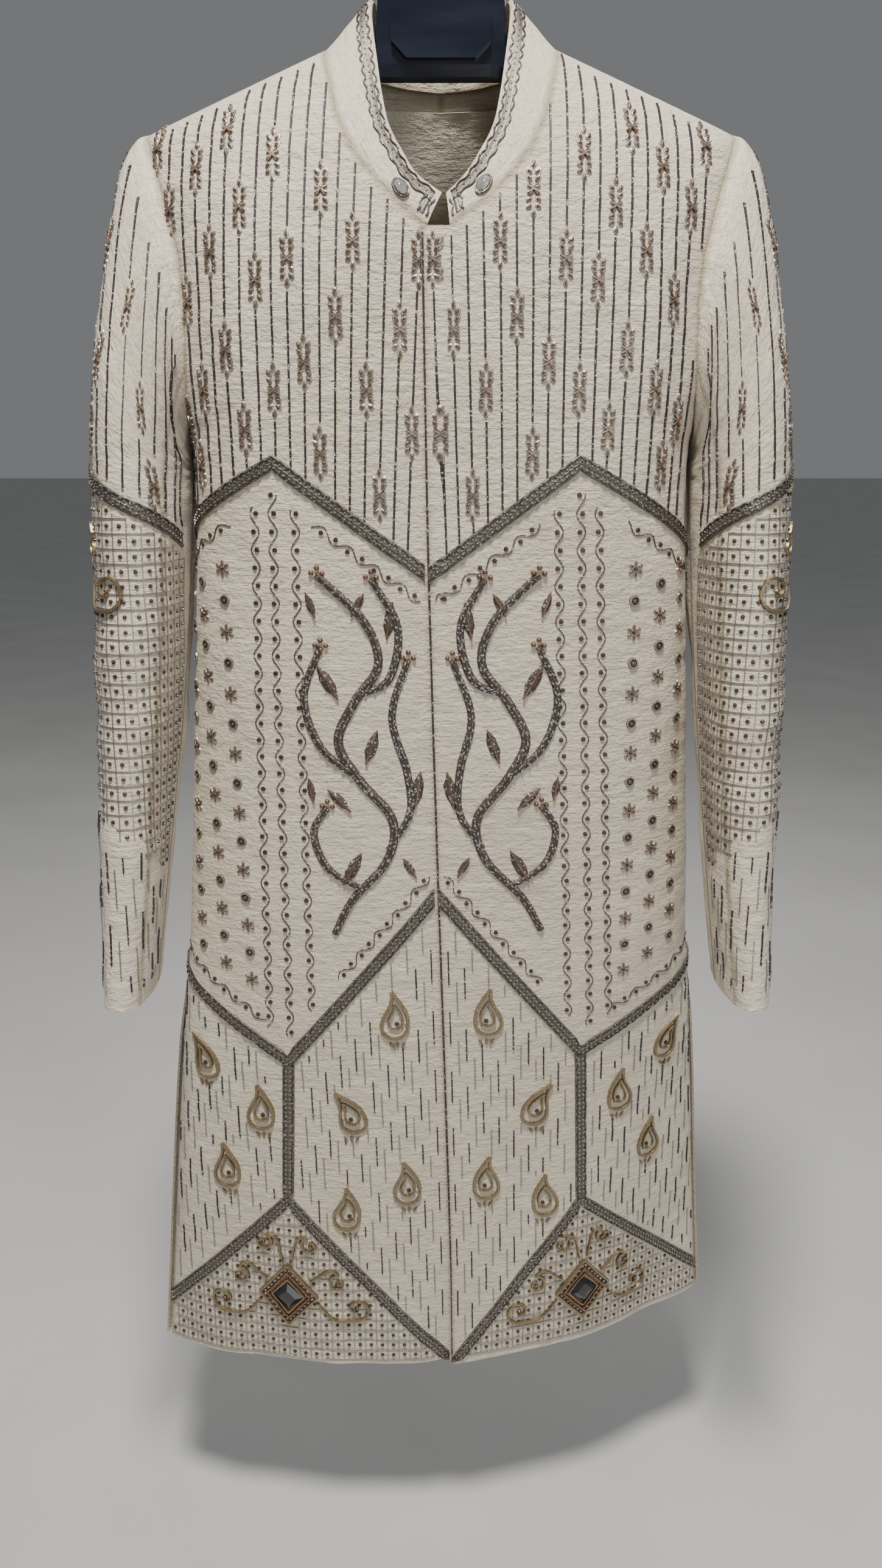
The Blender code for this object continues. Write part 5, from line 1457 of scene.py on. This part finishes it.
def stone_scrolls(works, place, middle, half, grow):
    """A diamond stone in ribbed frames, with plain curls about it."""
    a, z = middle
    share = np.linspace(0, 1, 9)[:, None]
    for scale, look, width, height, base in FRAME_RIBS:
        w, h = half[0] * scale, half[1] * scale
        corners = np.array([(w, 0), (0, h), (-w, 0), (0, -h)])
        for start, end in zip(corners, np.roll(corners, -1, axis=0)):
            cord(works[look], place, start * (1 - share) + end * share + (a, z), width, height, base)
    share = (np.arange(7) + 0.5) / 7
    w, h = half[0] * 0.87, half[1] * 0.87
    beads = np.concatenate([stacked(sx * w * (1 - share), sz * h * share)
                            for sx in (-1, 1) for sz in (-1, 1)])
    mounds(works["silver"], place, beads + (a, z), (0.0028, 0.0028), 0.0018, base=0.0030)
    for turn in (-1, 1):
        share = turn * half[0] / FRAME_HALF[0], half[1] / FRAME_HALF[1]
        for root, bend, middle, radius, start in STONE_SCROLLS:
            head = grow * spiral(*middle, radius, np.pi * start, 1.05)
            stalk = smooth_path([root, grow * np.array(bend), head[0]], 7)[:-1]
            path = np.concatenate([stalk, head]) * share
            taper = np.concatenate([np.linspace(0.0016, 0.0034, len(stalk)),
                                    np.linspace(0.0034, 0.0018, len(head))])
            cord(works["gold"], place, path + (a, z), taper, 0.0024, 0.0004)
            tip = grow * np.array(middle) * share + (a, z)
            mounds(works["copper"], place, [tip], (0.0044, 0.0044), 0.0030)


def diamond_plate(batch, place, middle, half):
    """The raised dark plate under a stone."""
    steps = 5
    corners = np.array([(half[0], 0), (0, half[1]), (-half[0], 0), (0, -half[1])])
    sides = np.roll(corners, -1, axis=0) - corners
    ring = np.concatenate([corner + side * np.arange(steps)[:, None] / steps
                           for corner, side in zip(corners, sides)])
    levels = [(1.0, -SUNK), (1.0, 0.0026), (0.97, 0.0030), (0.5, 0.0031), (0.0, 0.0032)]
    pyramid(batch, place, ring, levels, middle)


def cut_stone(batch, place, middle, half, base):
    """A four-sided stone with a bevelled crown and a point, cut in facets."""
    corner = np.array([(1, 0), (0.5, 0.5), (0, 1), (-0.5, 0.5), (-1, 0), (-0.5, -0.5), (0, -1), (0.5, -0.5)])
    levels = [(1.0, 0.0), (1.0, 0.0014), (0.62, 0.0046), (0.0, 0.0058)]
    pyramid(batch, place, corner * half, levels, middle, base)


WORK_LOOKS = ("zari", "cord", "taupe", "silver", "copper", "gold", "brown")


def new_works():
    return {look: new_batch() for look in WORK_LOOKS}


def close_works(works, region, word, stands_for):
    """One piece for each look of a region's work."""
    pieces = []
    for look, batch in works.items():
        if batch["count"]:
            pieces.append(finish_batch(f"{look}_{region}_{word}", batch, look,
                                       stands_for.get(look, ())))
    return pieces


def add_stone(name, place, middle, half, node):
    batch = new_batch()
    cut_stone(batch, place, np.array(middle), half, STONE_BASE)
    stone = finish_batch(name, batch, "black", [node])
    stone.data.polygons.foreach_set("use_smooth", np.zeros(len(stone.data.polygons), bool))
    return stone


def front_work(panels, sign):
    panel, word = panels["front", sign], WORDS[sign]
    place = body_place("front", sign)
    works = new_works()
    yoke_lines(works, place, sign, panel)
    front_bands(works, place, sign, panel)
    upper = close_works(works, "yoke", word, {"zari": [f"{band}_band_{word}"
                                                       for band in ("yoke", "hip", "drop", "hem")]})
    works = new_works()
    middle_panel(works, place, sign, panel)
    vine(works, place, sign)
    leaves = [f"vine_leaf_{word}_{number}" for number in range(1, 6)]
    centre = close_works(works, "centre", word, {"taupe": [f"vine_stem_{word}"] + leaves})
    works = new_works()
    dashes(works, place, sign, panel)
    for d, z, lean in PAISLEYS:
        paisley(works, place, sign, out_from_lap(sign, d, z), z, lean)
    hem_corner(works, place, sign, panel)
    diamond_plate(works["copper"], place, np.array(HEM_STONE[sign]), FRAME_HALF)
    lower = close_works(works, "skirt", word, {"copper": [f"hem_frame_{word}"]})
    stone = add_stone(f"stone_hem_{word}", place, HEM_STONE[sign], HEM_STONE_HALF, f"hem_stone_{word}")
    return upper + centre + lower + [stone]


def sleeve_far(sleeve, z):
    """Half the distance round a sleeve at z."""
    flat = sleeve["flat"]
    return np.interp(-np.asarray(z, float), -flat[:, 0, 1], flat[:, -1, 0])


def sleeve_grain(place, sign, z, room):
    """A function from an arc at the elbow to the arcs at each z of a line that stays nearly upright."""
    arcs = np.linspace(-0.174, 0.0, 88)
    rows = [sign * place(stacked(arcs, np.full(88, level), 0 * arcs))[:, 0] for level in z]
    crest = np.array([row[-1] for row in rows])
    base = np.array([sign * place(np.array([[arc, ELBOW_Z, 0.0]]))[0, 0] for arc in arcs])

    def grain(arc):
        if arc > -0.012:
            return np.full(len(z), arc)
        target = np.interp(arc, arcs, base) - 0.55 * (base[-1] - crest)
        found = np.full(len(z), arc)
        for i in range(len(z) - 2, -1, -1):
            on_cloth = room(arcs) > z[i]
            if on_cloth.any() and target[i] > rows[i][on_cloth].min():
                found[i] = np.interp(target[i], rows[i][on_cloth], arcs[on_cloth])
            else:
                found[i] = found[i + 1]
        return found
    return grain


def stair(s):
    """The height of the lattice's stepped lower edge."""
    step = np.floor((s - STAIR_START) / STAIR_WIDTH)
    return STAIR_FOOT + STAIR_RISE * np.minimum(step, STAIR_LAST)


def sleeve_lines(works, place, sleeve, sign):
    head, run = sleeve["points"][0][:, 2], sleeve["flat"][0, :, 0]
    z = np.arange(*SLEEVE_LINE_Z, -LINE_STEP)

    def room(s):
        return np.interp(s, run, head) - 0.006

    def fits(spot, middle):
        return band_z(SLEEVE_BAND, sign, spot) + 0.022 < middle < room(spot) - 0.014

    grain = sleeve_grain(place, sign, z, room)
    for k in SLEEVE_LINES:
        s = grain(SLEEVE_LINE_PITCH * k + 0.004)
        keep = (z < room(s)) & (np.abs(s) < sleeve_far(sleeve, z) - SEAM_GAP)
        keep &= z > band_z(SLEEVE_BAND, sign, s) + 0.0085
        sprigged_line(works, place, stacked(s, z), keep, SLEEVE_SPRIGS.get(k, ()), fits)


def sleeve_work(sleeve, sign):
    word = WORDS[sign]
    place = sleeve_place(sleeve)
    works = new_works()
    sleeve_lines(works, place, sleeve, sign)
    s = np.linspace(*SLEEVE_BAND_ARCS, 64)
    dress_band(works, place, stacked(s, band_z(SLEEVE_BAND, sign, s)))
    stone = np.array(SLEEVE_STONE)

    def inside(path):
        s, z = path[:, 0], path[:, 1]
        low = stair(s) + 0.004
        far = sleeve_far(sleeve, z) - SEAM_GAP
        keep = (s > -far) & (s < SLEEVE_BACK_SHARE * far) & (z > low)
        keep &= z < band_z(SLEEVE_BAND, sign, s) - BAND_GAP
        return keep & (np.abs(s - stone[0]) / 0.025 + np.abs(z - stone[1]) / 0.028 > 1)

    columns = np.arange(*SLEEVE_LATTICE_ARCS, LATTICE_CELL[0])
    rows = SLEEVE_LATTICE_Z + np.arange(SLEEVE_LATTICE_ROWS) * LATTICE_CELL[1]
    lattice(works, place, columns, rows, inside)
    cuff_dashes(works, place, sleeve)
    diamond_plate(works["copper"], place, stone, SLEEVE_FRAME_HALF)
    stone_scrolls(works, place, stone, SLEEVE_FRAME_HALF, SLEEVE_CURLS)
    pieces = close_works(works, "sleeve", word, {"zari": [f"sleeve_band_{word}"],
                                                 "copper": [f"sleeve_frame_{word}"]})
    gem = add_stone(f"stone_sleeve_{word}", place, SLEEVE_STONE, SLEEVE_STONE_HALF, f"sleeve_stone_{word}")
    return pieces + [gem]


def cuff_dashes(works, place, sleeve):
    for k in range(DASH_COLUMNS):
        s = -0.140 + 0.5 * DASH_PITCH * k
        beaded = k % 2
        low = stair(s)
        for n in range(0, 6):
            top = -0.640 - DASH_PERIOD * (n + 0.5 * beaded) - DASH_STAGGER * ((k // 2) % 5)
            z = np.arange(top, top - DASH_LENGTH, -0.0015 if beaded else -0.0031)
            far = sleeve_far(sleeve, z) - SEAM_GAP
            keep = (z < low - 0.004) & (z > CUFF_LINE_Z) & (s > -far) & (s < SLEEVE_BACK_SHARE * far)
            path = stacked(np.full(len(z), s), z)
            draw_dash(works, place, path, keep, beaded, 5)


EDGING_DEPTH = 0.0062
EDGING_PROFILE = [(-1, -SUNK), (-0.9, 0.0005), (0, 0.0008), (0.9, 0.0005), (1, -SUNK)]


def collar_work(collar):
    """The collar's edging: a dull zari strip between wavy dark lines, turned down at both front ends."""
    place = collar_place(collar)
    works = new_works()
    length = collar["flat"][0, -1, 0]
    run = np.linspace(0.004, length - 0.004, 260)
    line = stacked(run, np.full(len(run), EDGING_DEPTH))
    reach = stacked(0 * run, np.full(len(run), 0.0024))
    strip(works["zari"], place, line, reach, EDGING_PROFILE)
    knots = np.linspace(0, len(run) - 1, len(run) * 4)
    fine = points_at(knots, np.arange(len(run)), line)
    wide = stacked(0 * knots, np.ones(len(knots)))
    for offset in (-0.0034, 0.0034):
        cord(works["cord"], place, wavy(fine, wide, offset, 0.0007, 0.0110), 0.0013, 0.0011)
    at = np.arange(0.008, length - 0.008, 0.0055)
    beads = stacked(at, np.full(len(at), EDGING_DEPTH))
    mounds(works["brown"], place, beads, (0.0016, 0.0016), 0.0008, sides=5, base=0.0006)
    deep = np.linspace(0.008, 0.0215, 20)
    for end, turn in ((0.0, 1), (length, -1)):
        for out in (0.0026, 0.0082):
            u = end + turn * (out + 0.0007 * np.sin(2 * np.pi * deep / 0.011))
            cord(works["cord"], place, stacked(u, deep), 0.0013, 0.0011)
        u = np.full(len(deep), end + turn * 0.0054)
        cord(works["zari"], place, stacked(u, deep), 0.0034, 0.0006)
    return close_works(works, "collar", "edge", {})


STUD_PLACE = (0.0215, 0.0172)


def add_studs(collar):
    """A round clear stone in a rim near each front end of the collar."""
    place = collar_place(collar)
    length = collar["flat"][0, -1, 0]
    pieces = []
    for end, turn, word in ((0.0, 1, "left"), (length, -1, "right")):
        middle = (end + turn * STUD_PLACE[0], STUD_PLACE[1])
        batch = new_batch()
        mounds(batch, place, [middle], (0.0092, 0.0092), 0.0030, sides=16, base=0.0006)
        gem = finish_batch(f"stud_{word}", batch, "clear", [f"collar_stud_{word}"])
        rim = new_batch()
        cord(rim, place, circle(*middle, 0.0049, 22), 0.0014, 0.0018)
        pieces += [gem, finish_batch(f"stud_rim_{word}", rim, "taupe")]
    return pieces


def sewn(name, panel, wall, look, edges, node, swung=True, work=()):
    """A cloth piece with its wall and its declared cut. Its work argument, what is sewn on it, is not used.
    """
    obj = cloth(name, panel, wall, look, edges, node, swung)
    return obj


def add_body(panels, work):
    for (side, sign), panel in panels.items():
        word = WORDS[sign]
        sewn(f"silk_{side}_{word}", panel, WALL, "silk", ("start", "end", "top"),
             f"{side}_{word}", work=work.get((side, sign), ()))


def add_sleeves(sleeves, work):
    half = int(round(TOP_SLEEVE_SHARE * YOKE_ROWS))
    for sign, sleeve in sleeves.items():
        word = WORDS[sign]
        top = part_of(sleeve, np.s_[YOKE_ROWS - half:YOKE_ROWS + half + 1])
        under = part_of(sleeve, np.r_[YOKE_ROWS + half:2 * YOKE_ROWS, 0:YOKE_ROWS - half + 1])
        for name, panel in (("top", top), ("under", under)):
            sewn(f"silk_sleeve_{name}_{word}", panel, SLEEVE_WALL, "silk",
                 ("start", "end", "bottom"), f"sleeve_{name}_{word}",
                 False, work.get((name, sign), ()))


# The photo's camera looks 16 degrees down. Lights: place, target, size, power and colour.
CAMERA_PLACE = (0, -0.972, -0.412)
CAMERA_TILT = 74
LENS_MM, SENSOR_MM = 27.04, 36
LIGHTS = {
    "key": ((-0.10, -0.95, 1.55), (0, 0, -0.45), 0.40, 99, (1.0, 0.965, 0.91)),
    "fill": ((0.9, -2.0, -0.5), (0, 0, -0.9), 1.6, 12, (0.95, 0.97, 1.0)),
    "back": ((0.5, 1.6, 0.8), (0, 0, -0.5), 1.2, 14, (1.0, 0.98, 0.95)),
}
WORLD_COLOUR, WORLD_STRENGTH = (0.80, 0.82, 0.84), 0.22
FLOOR_Z, FLOOR_HALF = -1.45, 40.0
FLOOR_TONES = ((0.52, 0.52, 0.515), (0.57, 0.57, 0.565))


def add_camera():
    data = bpy.data.cameras.new("camera")
    data.lens = LENS_MM
    data.sensor_width = SENSOR_MM
    camera = bpy.data.objects.new("camera", data)
    camera.location = CAMERA_PLACE
    camera.rotation_euler = (np.radians(CAMERA_TILT), 0, 0)
    bpy.context.scene.collection.objects.link(camera)
    bpy.context.scene.camera = camera


def add_light(name, place, target, size, power, colour):
    data = bpy.data.lights.new(name, "AREA")
    data.shape = "DISK"
    data.size = size
    data.energy = power
    data.color = colour
    light = bpy.data.objects.new(name, data)
    light.location = place
    aim = Vector(target) - Vector(place)
    light.rotation_euler = aim.to_track_quat("-Z", "Y").to_euler()
    bpy.context.scene.collection.objects.link(light)


def add_world():
    world = bpy.data.worlds.new("room")
    world.use_nodes = True
    background = world.node_tree.nodes["Background"]
    background.inputs["Color"].default_value = (*WORLD_COLOUR, 1)
    background.inputs["Strength"].default_value = WORLD_STRENGTH
    bpy.context.scene.world = world


def add_floor():
    mesh = bpy.data.meshes.new("floor")
    corners = [(x * FLOOR_HALF, y * FLOOR_HALF, 0) for x, y in ((-1, -1), (1, -1), (1, 1), (-1, 1))]
    mesh.from_pydata(corners, [], [(0, 1, 2, 3)])
    look, tree, shader = new_look("floor_plain", 0.8)
    clouded(tree, shader, (3, 3, 3), 3.0, *FLOOR_TONES)
    mesh.materials.append(look)
    floor = bpy.data.objects.new("floor", mesh)
    floor.location = (0, 0, FLOOR_Z)
    bpy.context.scene.collection.objects.link(floor)


def main():
    add_camera()
    for name, row in LIGHTS.items():
        add_light(name, *row)
    add_world()
    add_floor()
    panels = {(side, sign): body_panel(side, sign) for side in ("front", "back") for sign in (1, -1)}
    sleeves = {sign: build_sleeve(sign, panels["front", sign], panels["back", sign]) for sign in (1, -1)}
    collar = build_collar(panels)
    add_body(panels, {("front", sign): front_work(panels, sign) for sign in (1, -1)})
    add_sleeves(sleeves, {("top", sign): sleeve_work(sleeves[sign], sign) for sign in (1, -1)})
    sewn("silk_collar", collar, COLLAR_WALL, "silk", ("bottom",), "collar",
         work=collar_work(collar) + add_studs(collar))
    sewn("lining_back", build_lining(), LINING_WALL, "lining", (), "back_lining")
    for node, look in (("hanger_body", "hanger"), ("hanger_plate", "hanger"), ("hanger_hook", "steel")):
        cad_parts[node].material_slots[0].material = LOOKS[look]


main()
